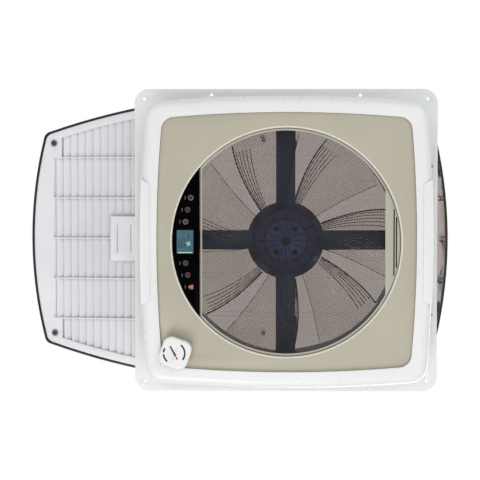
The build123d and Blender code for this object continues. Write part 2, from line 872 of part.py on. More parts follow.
screen_z = bezel_face_z + screen_bottom_rise
screen_radius = aperture_radius - screen_gap
mesh_z = screen_z + mesh_ledge_height
handle_end_x = screen_handle_x + screen_handle_width


def screen_disc(place, radius, left_x, right_x):
    """Disc cut off by two chords, the form of the insect screen."""
    with BuildSketch(place) as outline:
        Circle(radius)
        with Locations(((left_x + right_x) / 2, 0)):
            Rectangle(right_x - left_x, 2 * radius, mode=Mode.INTERSECT)
    return outline.sketch


with BuildPart() as screen_frame:
    screen_place = Plane.XY.offset(screen_z)
    extrude(
        screen_disc(screen_place, screen_radius, screen_left_x, screen_radius),
        amount=screen_thickness,
    )
    extrude(
        screen_disc(
            screen_place,
            screen_radius - screen_ring_width,
            screen_left_x + screen_bar_width,
            screen_handle_x,
        ),
        amount=mesh_ledge_height,
        mode=Mode.SUBTRACT,
    )
    extrude(
        screen_disc(
            Plane.XY.offset(mesh_z),
            screen_radius - screen_ledge,
            screen_left_x + screen_ledge / 2,
            screen_handle_x + screen_ledge,
        ),
        amount=screen_thickness,
        mode=Mode.SUBTRACT,
    )
    with BuildSketch(screen_place):
        for slit_x in (handle_end_x, handle_end_x + screen_slit_spacing):
            slit_half = sqrt(screen_radius**2 - (slit_x + screen_slit_width) ** 2) - screen_slit_margin
            with Locations((slit_x + screen_slit_width / 2, 0)):
                SlotOverall(2 * slit_half, screen_slit_width, rotation=90)
    extrude(amount=screen_thickness, mode=Mode.SUBTRACT)
screen_frame.part.label = "screen_frame"
export_step(screen_frame.part, "parts/screen_frame.step")

mesh_radius = screen_radius - screen_ledge - seat_gap
mesh_left_x = screen_left_x + screen_ledge / 2 + seat_gap
mesh_right_x = screen_handle_x + screen_ledge - seat_gap
mesh_rows = int(2 * mesh_radius / mesh_pitch)

with BuildPart() as insect_mesh:
    extrude(
        screen_disc(Plane.XY.offset(mesh_z), mesh_radius, mesh_left_x, mesh_right_x),
        amount=mesh_thickness,
    )
    with BuildSketch(Plane.XY.offset(mesh_z)) as mesh_gaps:
        open_radius = mesh_radius - screen_ring_width + screen_ledge - mesh_margin
        with GridLocations(mesh_pitch, mesh_pitch, mesh_rows, mesh_rows) as mesh_places:
            kept_places = []
            for place in mesh_places.locations:
                turned = Vector(place.position.X, place.position.Y, 0).rotate(Axis.Z, 45)
                reach = mesh_pitch / sqrt(2)
                inside = hypot(turned.X, turned.Y) + reach < open_radius
                right = turned.X + reach < screen_handle_x - mesh_margin
                left = turned.X - reach > screen_left_x + screen_bar_width + mesh_margin
                if inside and right and left:
                    kept_places.append((turned.X, turned.Y))
        with Locations(*kept_places):
            Rectangle(mesh_pitch - mesh_wire, mesh_pitch - mesh_wire, rotation=45)
    extrude(amount=mesh_thickness, mode=Mode.SUBTRACT)
insect_mesh.part.label = "insect_mesh"
export_step(insect_mesh.part, "parts/insect_mesh.step")
print("mesh gaps", len(kept_places))

# Fan shroud

carrier_reach = shroud_lip_radius - carrier_foot_margin
motor_screw_places = GridLocations(2 * motor_screw_x, 2 * motor_screw_y, 2, 2)
carrier_screw_along = carrier_reach - carrier_screw_inset
carrier_screw_places = [
    place
    for along in (carrier_screw_along, -carrier_screw_along)
    for aside in (carrier_screw_offset, -carrier_screw_offset)
    for place in ((along, aside), (aside, along))
]

with BuildPart() as fan_shroud:
    with BuildSketch(Plane.XY.offset(shroud_bottom)):
        Circle(shroud_outer)
        Circle(shroud_radius, mode=Mode.SUBTRACT)
    extrude(amount=shroud_top - shroud_bottom)
    with BuildSketch(Plane.XY.offset(deck_top)):
        Circle(shroud_lip_radius)
        Circle(shroud_radius, mode=Mode.SUBTRACT)
    extrude(amount=shroud_lip_thickness)
    # notches that the carrier's arms drop into
    with BuildSketch(Plane.XY.offset(carrier_height)):
        Rectangle(2 * carrier_reach, carrier_arm_width + 2 * seat_gap)
        Rectangle(carrier_arm_width + 2 * seat_gap, 2 * carrier_reach)
    extrude(amount=shroud_top - carrier_height + cut_overrun, mode=Mode.SUBTRACT)
    # hole for the motor lead and the lip's screw holes
    with BuildSketch(Plane.XY.offset(deck_top)):
        with Locations((-lead_down_radius, 0)):
            Circle(lead_radius + lead_hole_gap)
        with PolarLocations(shroud_screw_circle, shroud_screw_count, start_angle=180 / shroud_screw_count):
            Circle(shroud_screw_radius + press_gap)
        with Locations(*carrier_screw_places):
            Circle(shroud_screw_radius + press_gap)
    extrude(amount=shroud_lip_thickness, mode=Mode.SUBTRACT)
fan_shroud.part.label = "fan_shroud"
export_step(fan_shroud.part, "parts/fan_shroud.step")

# Motor carrier: four channelled arms round a disc, standing on the shroud's lip

with BuildPart() as motor_carrier:
    with BuildSketch(Plane.XY.offset(carrier_height)):
        Rectangle(2 * carrier_reach, carrier_arm_width)
        Rectangle(carrier_arm_width, 2 * carrier_reach)
    extrude(amount=carrier_arm_depth)
    with BuildSketch(Plane.XY.offset(carrier_height + carrier_skin)):
        Rectangle(2 * carrier_reach + 2 * cut_overrun, carrier_arm_width - 2 * carrier_skin)
        Rectangle(carrier_arm_width - 2 * carrier_skin, 2 * carrier_reach + 2 * cut_overrun)
        Circle(motor_radius + seat_gap)
    extrude(amount=carrier_arm_depth, mode=Mode.SUBTRACT)
    with BuildSketch(Plane.XY.offset(carrier_height)):
        Circle(carrier_disc_radius)
    extrude(amount=carrier_disc_thickness)
    # holes for the motor and the screws, and the notch that the lead leaves by
    with BuildSketch(Plane.XY.offset(carrier_height)):
        Circle(motor_bush_radius + press_gap)
        with motor_screw_places:
            Circle(motor_screw_radius + press_gap)
        with Locations(*carrier_screw_places):
            Circle(shroud_screw_radius + press_gap)
        with Locations((-carrier_reach, 0)):
            Rectangle(
                carrier_lead_notch,
                2 * (lead_radius + lead_hole_gap),
                align=(Align.MIN, Align.CENTER),
            )
    extrude(amount=carrier_disc_thickness, mode=Mode.SUBTRACT)
motor_carrier.part.label = "motor_carrier"
export_step(motor_carrier.part, "parts/motor_carrier.step")

# the screws that hold the lip to the deck, and the carrier's arms to the lip
with BuildPart() as shroud_screws:
    with BuildSketch(Plane.XY.offset(carrier_height)):
        with PolarLocations(shroud_screw_circle, shroud_screw_count, start_angle=180 / shroud_screw_count):
            Circle(shroud_screw_head_radius)
    extrude(amount=shroud_screw_radius)
    with BuildSketch(Plane.XY.offset(carrier_height)):
        with PolarLocations(shroud_screw_circle, shroud_screw_count, start_angle=180 / shroud_screw_count):
            Circle(shroud_screw_radius)
    extrude(amount=-shroud_screw_length)
    with BuildSketch(Plane.XY.offset(carrier_height + carrier_skin)):
        with Locations(*carrier_screw_places):
            Circle(shroud_screw_head_radius)
    extrude(amount=shroud_screw_radius)
    with BuildSketch(Plane.XY.offset(carrier_height + carrier_skin)):
        with Locations(*carrier_screw_places):
            Circle(shroud_screw_radius)
    extrude(amount=-shroud_screw_length)
shroud_screws.part.label = "shroud_screws"
export_step(shroud_screws.part, "parts/shroud_screws.step")

# Fan motor

with BuildPart() as motor_can:
    with BuildSketch(Plane.XY.offset(motor_bottom)):
        Circle(motor_radius)
    extrude(amount=motor_length)
    with BuildSketch(Plane.XY.offset(motor_bottom + motor_wall)):
        Circle(motor_radius - motor_wall)
    extrude(amount=motor_length, mode=Mode.SUBTRACT)
    with BuildSketch(Plane.XY.offset(motor_bottom - cut_overrun)):
        Circle(motor_bush_radius + press_gap)
        with motor_screw_places:
            Circle(motor_screw_radius + press_gap)
    extrude(amount=motor_wall + 2 * cut_overrun, mode=Mode.SUBTRACT)
    with BuildSketch(facing_end(-motor_radius - cut_overrun, 0, lead_out_z)):
        Circle(lead_radius + seat_gap)
    extrude(amount=motor_wall + 2 * cut_overrun, mode=Mode.SUBTRACT)
motor_can.part.label = "motor_can"
export_step(motor_can.part, "parts/motor_can.step")

motor_bush_top = motor_top + motor_cap_boss_height - motor_cap_plate
lower_bush_z = carrier_height + press_gap

with BuildPart() as motor_end_cap:
    with BuildSketch(Plane.XY.offset(motor_top)):
        Circle(motor_radius)
    extrude(amount=motor_cap_plate)
    with BuildSketch(Plane.XY.offset(motor_top)):
        Circle(motor_cap_boss_radius)
    extrude(amount=motor_cap_boss_height)
    with BuildSketch(Plane.XY.offset(motor_top)):
        Circle(motor_bush_radius + press_gap)
    extrude(amount=motor_bush_top - motor_top, mode=Mode.SUBTRACT)
motor_end_cap.part.label = "motor_end_cap"
export_step(motor_end_cap.part, "parts/motor_end_cap.step")

with BuildPart() as motor_bushes:
    for bush_bottom in (lower_bush_z, motor_bush_top - motor_bush_length):
        with BuildSketch(Plane.XY.offset(bush_bottom)):
            Circle(motor_bush_radius)
            Circle(motor_shaft_radius + running_gap, mode=Mode.SUBTRACT)
        extrude(amount=motor_bush_length)
motor_bushes.part.label = "motor_bushes"
export_step(motor_bushes.part, "parts/motor_bushes.step")

magnet_outer = motor_radius - motor_wall - press_gap
magnet_inner = magnet_outer - magnet_thickness
armature_radius = magnet_inner - air_gap
motor_middle = (motor_bottom + motor_top) / 2

with BuildPart() as motor_magnets:
    with BuildSketch(Plane.XY.offset(motor_middle - magnet_length / 2)):
        for middle in (90, 270):
            first, last = radians(middle - magnet_arc / 2), radians(middle + magnet_arc / 2)
            with BuildLine():
                outer_arc = CenterArc((0, 0), magnet_outer, degrees(first), magnet_arc)
                inner_arc = CenterArc((0, 0), magnet_inner, degrees(first), magnet_arc)
                Line(outer_arc @ 0, inner_arc @ 0)
                Line(outer_arc @ 1, inner_arc @ 1)
            make_face()
    extrude(amount=magnet_length)
motor_magnets.part.label = "motor_magnets"
export_step(motor_magnets.part, "parts/motor_magnets.step")

with BuildPart() as motor_armature:
    with BuildSketch(Plane.XY.offset(motor_middle - armature_length / 2)):
        Circle(armature_radius)
        Circle(motor_shaft_radius + press_gap, mode=Mode.SUBTRACT)
        with PolarLocations(armature_radius - armature_slot_depth / 2, armature_slots):
            Rectangle(armature_slot_depth + cut_overrun, armature_slot_width, mode=Mode.SUBTRACT)
    extrude(amount=armature_length)
motor_armature.part.label = "motor_armature"
export_step(motor_armature.part, "parts/motor_armature.step")

with BuildPart() as motor_shaft:
    with BuildSketch(Plane.XY.offset(motor_shaft_bottom)):
        Circle(motor_shaft_radius)
    extrude(amount=motor_bush_top - seat_gap - motor_shaft_bottom)
motor_shaft.part.label = "motor_shaft"
export_step(motor_shaft.part, "parts/motor_shaft.step")

with BuildPart() as motor_screws:
    with BuildSketch(Plane.XY.offset(carrier_height)):
        with motor_screw_places:
            Circle(motor_screw_head_radius)
    extrude(amount=-motor_screw_head_height)
    with BuildSketch(Plane.XY.offset(carrier_height)):
        with motor_screw_places:
            Circle(motor_screw_radius)
    extrude(amount=carrier_disc_thickness + motor_wall)
motor_screws.part.label = "motor_screws"
export_step(motor_screws.part, "parts/motor_screws.step")

# Fan rotor and its nut

# Each blade section stands across the blade's middle line, at a share of the fan radius: its two edges
# lie at angles from that line, and it climbs from the leading edge to the trailing edge.
section_reach_shares = (0.25, 0.52, 0.79, 1.03)
leading_angles = (-29.0, -24.0, -19.0, -14.0)
trailing_angles = (15.0, 19.0, 23.0, 26.0)
blade_climbs = (25.0, 24.0, 22.0, 20.0)


def blade_section(direction, share, leading, trailing, climb):
    """One section of a blade: a thin cambered plate that climbs from edge to edge."""
    reach = share * fan_radius
    across = (-sin(direction), cos(direction), 0)
    outwards = (cos(direction), sin(direction), 0)
    place = Plane(
        origin=(reach * outwards[0], reach * outwards[1], blade_level),
        x_dir=across,
        z_dir=outwards,
    )
    start_x, end_x = reach * sin(radians(leading)), reach * sin(radians(trailing))
    middle_x = (start_x + end_x) / 2
    half_climb, half_thick = climb / 2, blade_thickness / 2
    with BuildSketch(place) as section:
        with BuildLine():
            ThreePointArc(
                (start_x, -half_climb - half_thick),
                (middle_x, -blade_camber - half_thick),
                (end_x, half_climb - half_thick),
            )
            Line((end_x, half_climb - half_thick), (end_x, half_climb + half_thick))
            ThreePointArc(
                (end_x, half_climb + half_thick),
                (middle_x, half_thick - blade_camber),
                (start_x, half_thick - half_climb),
            )
            Line((start_x, half_thick - half_climb), (start_x, -half_climb - half_thick))
        make_face()
    return section.sketch


with BuildPart() as fan_rotor:
    for blade in range(blade_count):
        blade_direction = radians(blade_first_angle + blade * 360 / blade_count + blade_middle_angle)
        loft(
            [
                blade_section(blade_direction, *values)
                for values in zip(section_reach_shares, leading_angles, trailing_angles, blade_climbs)
            ]
        )
    with BuildSketch(Plane.XY.offset(-hub_radius)):
        Circle(fan_radius)
        Circle(hub_radius - hub_wall / 2, mode=Mode.SUBTRACT)
    extrude(amount=2 * hub_radius, mode=Mode.INTERSECT)
    with BuildSketch(Plane.XY.offset(hub_bottom)):
        Circle(hub_radius)
        Circle(hub_radius - hub_wall, mode=Mode.SUBTRACT)
    extrude(amount=hub_height)
    with BuildSketch(Plane.XY.offset(hub_web_level)):
        Circle(hub_radius - hub_wall / 2)
    extrude(amount=hub_web_thickness)
    with BuildSketch(Plane.XY.offset(hub_bottom + hub_wall / 2)):
        Circle(hub_inner_ring_radius)
        Circle(hub_inner_ring_radius - hub_inner_ring_wall, mode=Mode.SUBTRACT)
        rib_length = hub_radius - hub_wall / 2 - hub_inner_ring_radius + hub_inner_ring_wall / 2
        with PolarLocations(hub_radius - hub_wall / 2 - rib_length / 2, hub_rib_count):
            Rectangle(rib_length, hub_rib_thickness)
    extrude(amount=hub_web_level - hub_bottom)
    with BuildSketch(Plane.XY.offset(hub_boss_bottom)):
        Circle(hub_boss_radius)
    extrude(amount=hub_boss_height)
    with BuildSketch(Plane.XY.offset(hub_bottom)):
        Circle(motor_shaft_radius + press_gap)
        with motor_screw_places:
            Circle(hub_window_radius)
    extrude(amount=hub_height, mode=Mode.SUBTRACT)
fan_rotor.part.label = "fan_rotor"
export_step(fan_rotor.part, "parts/fan_rotor.step")

with BuildPart() as rotor_nut:
    with BuildSketch(Plane.XY.offset(hub_boss_bottom)):
        RegularPolygon(nut_across / 2, 6, major_radius=False)
        Circle(motor_shaft_radius + press_gap, mode=Mode.SUBTRACT)
    extrude(amount=-nut_height)
rotor_nut.part.label = "rotor_nut"
export_step(rotor_nut.part, "parts/rotor_nut.step")

# Lid shell

side_beads = range(-rib_pairs_each_side, rib_pairs_each_side + 1)


def lid_profile(depth):
    """Heights and insets up the lid's profile, a depth inside its outer face."""
    climb, reach = lid_top_height - lid_brow_height, lid_top_inset - lid_brow_inset
    points = [
        (lid_rim_height, 0),
        (lid_shoulder_height, lid_shoulder_inset),
        (lid_brow_height, lid_brow_inset),
    ]
    for up_share, in_share in lid_crown_shares:
        points.append((lid_brow_height + climb * up_share, lid_brow_inset + reach * in_share))
    normals = []
    for lower, upper in zip(points, points[1:]):
        run = hypot(upper[0] - lower[0], upper[1] - lower[1])
        normals.append(((lower[1] - upper[1]) / run, (upper[0] - lower[0]) / run))
    normals.append((-1, 0))
    moved = [(lid_rim_height, depth / normals[0][1])]
    for point, below, above in zip(points[1:], normals, normals[1:]):
        scale = depth / (1 + below[0] * above[0] + below[1] * above[1])
        moved.append(
            (point[0] + scale * (below[0] + above[0]), point[1] + scale * (below[1] + above[1]))
        )
    return moved


def lid_volume(depth):
    """Volume under the lid's skin, a depth inside its outer face."""
    with BuildPart() as volume:
        loft([lid_outline(height, inset) for height, inset in lid_profile(depth)], ruled=True)
    return volume.part


lid_outer_volume = lid_volume(0)
lid_inner_volume = lid_volume(lid_wall)
lid_core_volume = lid_volume(lid_wall + rib_depth)

pillar_places = [
    (x, side * y)
    for x, y in (
        (liner_screw_left_x, liner_screw_left_y),
        (liner_screw_right_x, liner_screw_right_y),
    )
    for side in (1, -1)
]

# The roller's place in the lid's own frame gives the tracks their line.


def roller_in_lid(tilt):
    """Roller centre in the closed lid's X and height, with the lid open by a tilt."""
    arm_angle = radians(arm_closed_angle + arm_ratio * tilt)
    reach = shaft_x + arm_length * cos(arm_angle) - hinge_x
    rise = shaft_z + arm_length * sin(arm_angle) - hinge_z
    turn = radians(tilt)
    return (
        hinge_x + reach * cos(turn) - rise * sin(turn),
        hinge_z + reach * sin(turn) + rise * cos(turn),
    )


track_path = [roller_in_lid(lid_full_tilt * step / 20) for step in range(21)]
track_turn = atan2(track_path[0][1] - track_path[-1][1], track_path[0][0] - track_path[-1][0])
path_along = [x * cos(track_turn) + z * sin(track_turn) for x, z in track_path]
path_aside = [z * cos(track_turn) - x * sin(track_turn) for x, z in track_path]
middle_along = (max(path_along) + min(path_along)) / 2
middle_aside = (max(path_aside) + min(path_aside)) / 2
track_middle_x = middle_along * cos(track_turn) - middle_aside * sin(track_turn)
track_middle_z = middle_along * sin(track_turn) + middle_aside * cos(track_turn)
slot_half_width = roller_radius + (max(path_aside) - min(path_aside)) / 2 + track_gap
slot_length = max(path_along) - min(path_along) + 2 * slot_half_width + 2 * track_gap
track_half_length = slot_length / 2 + track_edge
track_foot_z = lid_ceiling - track_boss_drop - track_foot_thickness
track_foot_half = track_half_length + track_foot_margin
track_plate_y = roller_y - track_thickness / 2
track_screw_offset = track_foot_half - track_screw_head_radius - track_gap
track_screw_y = track_plate_y - track_foot_width / 2

with BuildPart() as lid_shell:
    add(lid_outer_volume)
    add(lid_inner_volume, mode=Mode.SUBTRACT)
    with BuildPart(mode=Mode.PRIVATE) as inner_ribs:
        with BuildSketch(lid_level(rib_lowest)):
            for line in side_beads:
                for half in (-rib_pair_spacing / 2, rib_pair_spacing / 2):
                    with Locations(((lid_left_end + lid_right_end) / 2, line * rib_pitch + half)):
                        Rectangle(lid_right_end - lid_left_end, rib_thickness)
        extrude(amount=lid_top_height - rib_lowest)
        add(lid_core_volume, mode=Mode.SUBTRACT)
        with BuildSketch(lid_level(lid_shoulder_height)):
            with Locations((lid_left_end / 2, 0)):
                Rectangle(lid_right_end - lid_left_end, 2 * lid_half_width)
        extrude(amount=-lid_shoulder_height, mode=Mode.SUBTRACT)
    with BuildSketch(lid_level(seal_top + seat_gap)):
        add(upstand_outline(lid_level(seal_top + seat_gap), (lip_reach - base_wall + land_width) / 2))
        add(
            upstand_outline(
                lid_level(seal_top + seat_gap), (lip_reach - base_wall - land_width) / 2
            ),
            mode=Mode.SUBTRACT,
        )
    extrude(amount=lid_ceiling - seal_top + lid_wall / 2)
    add(inner_ribs.part)
    # screw pillars of the liner, each tied to the wall by a gusset
    with BuildSketch(lid_level(liner_bottom + liner_thickness)):
        with Locations(*pillar_places):
            Circle(lid_pillar_radius)
        for side in (1, -1):
            with Locations((liner_screw_left_x - lid_gusset_reach / 2, side * liner_screw_left_y)):
                Rectangle(lid_gusset_reach, lid_gusset_thickness)
            with Locations((liner_screw_right_x, side * (liner_screw_right_y + lid_gusset_reach / 2))):
                Rectangle(lid_gusset_thickness, lid_gusset_reach)
    extrude(amount=lid_pillar_height)
    with BuildSketch(lid_level(lid_ceiling - track_boss_drop)):
        for side in (1, -1):
            with Locations(
                (track_middle_x - track_screw_offset, side * track_screw_y),
                (track_middle_x + track_screw_offset, side * track_screw_y),
            ):
                Circle(track_boss_radius)
    extrude(amount=track_boss_drop + lid_wall / 2)
    with BuildSketch(lid_end(hinge_leaf_plate_x + hinge_leaf_plate)):
        with Locations((hinge_y, hinge_z), (-hinge_y, hinge_z)):
            Rectangle(hinge_pad_width, hinge_pad_height)
    extrude(amount=lid_right_end - hinge_leaf_plate_x)
    add(lid_outer_volume, mode=Mode.INTERSECT)
    # raised beads along the top
    with BuildSketch(lid_level(lid_top_height)):
        for line in side_beads:
            with Locations(((bead_start_x + bead_end_x) / 2, line * rib_pitch)):
                SlotOverall(bead_end_x - bead_start_x, bead_width)
    extrude(amount=bead_height)
    # screw holes in the pillars, the track bosses and the hinge pads
    with BuildSketch(lid_level(liner_bottom + liner_thickness)):
        with Locations(*pillar_places):
            Circle(liner_screw_radius + press_gap)
    extrude(amount=liner_screw_length, mode=Mode.SUBTRACT)
    with BuildSketch(lid_level(lid_ceiling - track_boss_drop)):
        for side in (1, -1):
            with Locations(
                (track_middle_x - track_screw_offset, side * track_screw_y),
                (track_middle_x + track_screw_offset, side * track_screw_y),
            ):
                Circle(track_screw_radius + press_gap)
    extrude(amount=track_boss_drop, mode=Mode.SUBTRACT)
    with BuildSketch(lid_end(hinge_leaf_plate_x + hinge_leaf_plate)):
        for side in (1, -1):
            with Locations((side * hinge_y, hinge_z)):
                with GridLocations(0, leaf_screw_spacing, 1, 2):
                    Circle(hinge_screw_radius + press_gap)
    extrude(amount=hinge_leaf_plate + lid_wall, mode=Mode.SUBTRACT)
lid_shell.part.label = "lid_shell"
export_step(lid_shell.part, "parts/lid_shell.step")

# Lid liner


def louvre_field(height, inset):
    """Opening of the liner that the slats fill, drawn in by an inset."""
    left, right = louvre_left_x + inset, louvre_right_x - inset
    outer_row = rib_pitch * rib_pairs_each_side - inset
    with BuildSketch(lid_level(height)) as field:
        add(lid_outline(height, liner_border + inset))
        with Locations(((left + right) / 2, 0)):
            Rectangle(right - left, 2 * lid_half_width, mode=Mode.INTERSECT)
        with Locations(
            (louvre_corner_x + inset, outer_row),
            (louvre_corner_x + inset, -outer_row - lid_half_width),
        ):
            Rectangle(
                lid_right_end, lid_half_width, align=(Align.MAX, Align.MIN), mode=Mode.SUBTRACT
            )
    return field.sketch


slat_run = slat_width * cos(radians(slat_angle))
slat_rise = slat_width * sin(radians(slat_angle))
slat_count = int((louvre_right_x - louvre_left_x) / slat_pitch) + 1

with BuildPart() as louvres:
    with BuildSketch(lid_side(0)):
        for slat in range(slat_count):
            slat_x = louvre_left_x + slat_start + slat * slat_pitch
            with Locations((slat_x + slat_run / 2, liner_bottom + slat_thickness + slat_rise / 2)):
                Rectangle(slat_width, slat_thickness, rotation=slat_angle)
    extrude(amount=lid_half_width, both=True)
    with BuildSketch(lid_level(liner_bottom)):
        for line in side_beads:
            with Locations((louvre_left_x, line * rib_pitch)):
                Rectangle(
                    louvre_right_x - louvre_left_x, louvre_wall, align=(Align.MIN, Align.CENTER)
                )
    extrude(amount=louvre_rib_height)
    extrude(louvre_field(liner_bottom, 0), amount=louvre_wall_height, mode=Mode.INTERSECT)

with BuildPart() as lid_liner:
    extrude(lid_outline(liner_bottom, lid_wall + liner_gap), amount=liner_thickness)
    split(bisect_by=lid_end(liner_edge_x), keep=Keep.BOTTOM)
    extrude(louvre_field(liner_bottom, -louvre_wall), amount=louvre_wall_height)
    extrude(louvre_field(liner_bottom, 0), amount=louvre_wall_height, mode=Mode.SUBTRACT)
    add(louvres.part)
    with BuildSketch(lid_level(liner_bottom)):
        with Locations(*pillar_places):
            Circle(liner_screw_radius + press_gap)
    extrude(amount=liner_thickness, mode=Mode.SUBTRACT)
lid_liner.part.label = "lid_liner"
export_step(lid_liner.part, "parts/lid_liner.step")

with BuildPart() as liner_plate:
    with BuildSketch(lid_level(liner_bottom)):
        with Locations((liner_plate_left, 0)):
            Rectangle(
                liner_plate_width, 2 * liner_plate_half_length, align=(Align.MIN, Align.CENTER)
            )
    extrude(amount=-liner_plate_thickness)
    with BuildSketch(lid_level(liner_bottom - liner_plate_thickness)):
        with GridLocations(liner_plate_width / 2, 0, 2, 1):
            with Locations((liner_plate_left + liner_plate_width / 2, 0)):
                Rectangle(liner_plate_groove, 1.25 * liner_plate_half_length)
    extrude(amount=liner_plate_groove, mode=Mode.SUBTRACT)
liner_plate.part.label = "liner_plate"
export_step(liner_plate.part, "parts/liner_plate.step")

with BuildPart() as liner_screws:
    with BuildSketch(lid_level(liner_bottom)):
        with Locations(*pillar_places):
            Circle(liner_screw_head_radius)
    extrude(amount=-liner_screw_head_height)
    with BuildSketch(lid_level(liner_bottom)):
        with Locations(*pillar_places):
            Circle(liner_screw_radius)
    extrude(amount=liner_screw_length)
liner_screws.part.label = "liner_screws"
export_step(liner_screws.part, "parts/liner_screws.step")

# Hinges

with BuildPart() as hinge_brackets:
    with BuildSketch(facing_end(upstand_half_width, 0, hinge_z)):
        with Locations((hinge_y, 0), (-hinge_y, 0)):
            Rectangle(hinge_bracket_length, hinge_bracket_height)
    extrude(amount=hinge_bracket_plate)
    for side in (1, -1):
        for lug in (1, -1):
            lug_y = side * hinge_y + lug * hinge_lug_spacing / 2 + hinge_lug_thickness / 2
            with BuildSketch(facing_side(upstand_half_width, lug_y, hinge_z)):
                with Locations((hinge_x - upstand_half_width, 0)):
                    Circle(hinge_eye_radius)
                Rectangle(
                    hinge_x - upstand_half_width,
                    2 * hinge_eye_radius,
                    align=(Align.MIN, Align.CENTER),
                )
                with Locations((hinge_x - upstand_half_width, 0)):
                    Circle(hinge_pin_radius + press_gap, mode=Mode.SUBTRACT)
            extrude(amount=hinge_lug_thickness)
    with BuildSketch(facing_end(upstand_half_width, 0, hinge_z)):
        with GridLocations(2 * hinge_y, bracket_screw_spacing, 2, 2):
            Circle(hinge_screw_radius + press_gap)
    extrude(amount=hinge_bracket_plate, mode=Mode.SUBTRACT)
hinge_brackets.part.label = "hinge_brackets"
export_step(hinge_brackets.part, "parts/hinge_brackets.step")

with BuildPart() as bracket_screws:
    with BuildSketch(facing_end(upstand_half_width + hinge_bracket_plate, 0, hinge_z)):
        with GridLocations(2 * hinge_y, bracket_screw_spacing, 2, 2):
            Circle(hinge_screw_head_radius)
    extrude(amount=hinge_screw_head_height)
    with BuildSketch(facing_end(upstand_half_width + hinge_bracket_plate, 0, hinge_z)):
        with GridLocations(2 * hinge_y, bracket_screw_spacing, 2, 2):
            Circle(hinge_screw_radius)
    extrude(amount=-(hinge_bracket_plate + base_wall))
bracket_screws.part.label = "bracket_screws"
export_step(bracket_screws.part, "parts/bracket_screws.step")

pin_half_length = hinge_lug_spacing / 2 + hinge_lug_thickness / 2

with BuildPart() as hinge_pins:
    for side in (1, -1):
        with BuildSketch(facing_side(hinge_x, side * hinge_y, hinge_z)):
            Circle(hinge_pin_radius)
        extrude(amount=pin_half_length + hinge_pin_head_height, both=True)
        for end in (1, -1):
            with BuildSketch(facing_side(hinge_x, side * hinge_y + end * pin_half_length, hinge_z)):
                Circle(hinge_pin_head_radius)
            extrude(amount=-end * hinge_pin_head_height)
hinge_pins.part.label = "hinge_pins"
export_step(hinge_pins.part, "parts/hinge_pins.step")

leaf_half_width = hinge_lug_spacing / 2 - hinge_lug_thickness / 2 - seat_gap

with BuildPart() as hinge_leaves:
    for side in (1, -1):
        with BuildSketch(lid_side(side * hinge_y)):
            with Locations((hinge_x, hinge_z)):
                Circle(hinge_eye_radius)
                Rectangle(
                    hinge_leaf_plate_x - hinge_x + hinge_leaf_plate / 2,
                    hinge_arm_height,
                    align=(Align.MIN, Align.CENTER),
                )
                Circle(hinge_pin_radius + running_gap, mode=Mode.SUBTRACT)
        extrude(amount=leaf_half_width, both=True)
    with BuildSketch(lid_end(hinge_leaf_plate_x)):
        with Locations((hinge_y, hinge_z), (-hinge_y, hinge_z)):
            Rectangle(hinge_leaf_width, hinge_leaf_height)
    extrude(amount=hinge_leaf_plate)
    with BuildSketch(lid_end(hinge_leaf_plate_x)):
        for side in (1, -1):
            with Locations((side * hinge_y, hinge_z)):
                with GridLocations(0, leaf_screw_spacing, 1, 2):
                    Circle(hinge_screw_radius + press_gap)
    extrude(amount=hinge_leaf_plate, mode=Mode.SUBTRACT)
hinge_leaves.part.label = "hinge_leaves"
export_step(hinge_leaves.part, "parts/hinge_leaves.step")

with BuildPart() as leaf_screws:
    for head_radius, length in (
        (hinge_screw_head_radius, -hinge_screw_head_height),
        (hinge_screw_radius, hinge_leaf_plate + lid_wall),
    ):
        with BuildSketch(lid_end(hinge_leaf_plate_x)):
            for side in (1, -1):
                with Locations((side * hinge_y, hinge_z)):
                    with GridLocations(0, leaf_screw_spacing, 1, 2):
                        Circle(head_radius)
        extrude(amount=length)
leaf_screws.part.label = "leaf_screws"
export_step(leaf_screws.part, "parts/leaf_screws.step")

# Tracks under the lid

for side, track_name in ((1, "track_near"), (-1, "track_far")):
    plate_face_y = side * roller_y + track_thickness / 2
    with BuildPart() as track:
        with BuildSketch(lid_side(plate_face_y)):
            with BuildLine():
                Polyline(
                    (track_middle_x - track_half_length, track_middle_z - roller_radius - track_edge),
                    (track_middle_x + track_half_length, track_middle_z - roller_radius - track_edge),
                    (track_middle_x + track_foot_half, track_foot_z),
                    (track_middle_x + track_foot_half, track_foot_z + track_foot_thickness),
                    (track_middle_x - track_foot_half, track_foot_z + track_foot_thickness),
                    (track_middle_x - track_foot_half, track_foot_z),
                    close=True,
                )
            make_face()
            with Locations((track_middle_x, track_middle_z)):
                SlotOverall(
                    slot_length, 2 * slot_half_width, rotation=degrees(track_turn), mode=Mode.SUBTRACT
                )
        extrude(amount=track_thickness)
        with BuildSketch(lid_level(track_foot_z)):
            with Locations((track_middle_x, side * (roller_y + track_thickness / 2))):
                Rectangle(
                    2 * track_foot_half,
                    track_foot_width + track_thickness,
                    align=(Align.CENTER, Align.MAX if side > 0 else Align.MIN),
                )
        extrude(amount=track_foot_thickness)
        with BuildSketch(lid_level(track_foot_z)):
            with Locations(
                (track_middle_x - track_screw_offset, side * track_screw_y),
                (track_middle_x + track_screw_offset, side * track_screw_y),
            ):
                Circle(track_screw_radius + press_gap)
        extrude(amount=track_foot_thickness, mode=Mode.SUBTRACT)
    track.part.label = track_name
    export_step(track.part, f"parts/{track_name}.step")

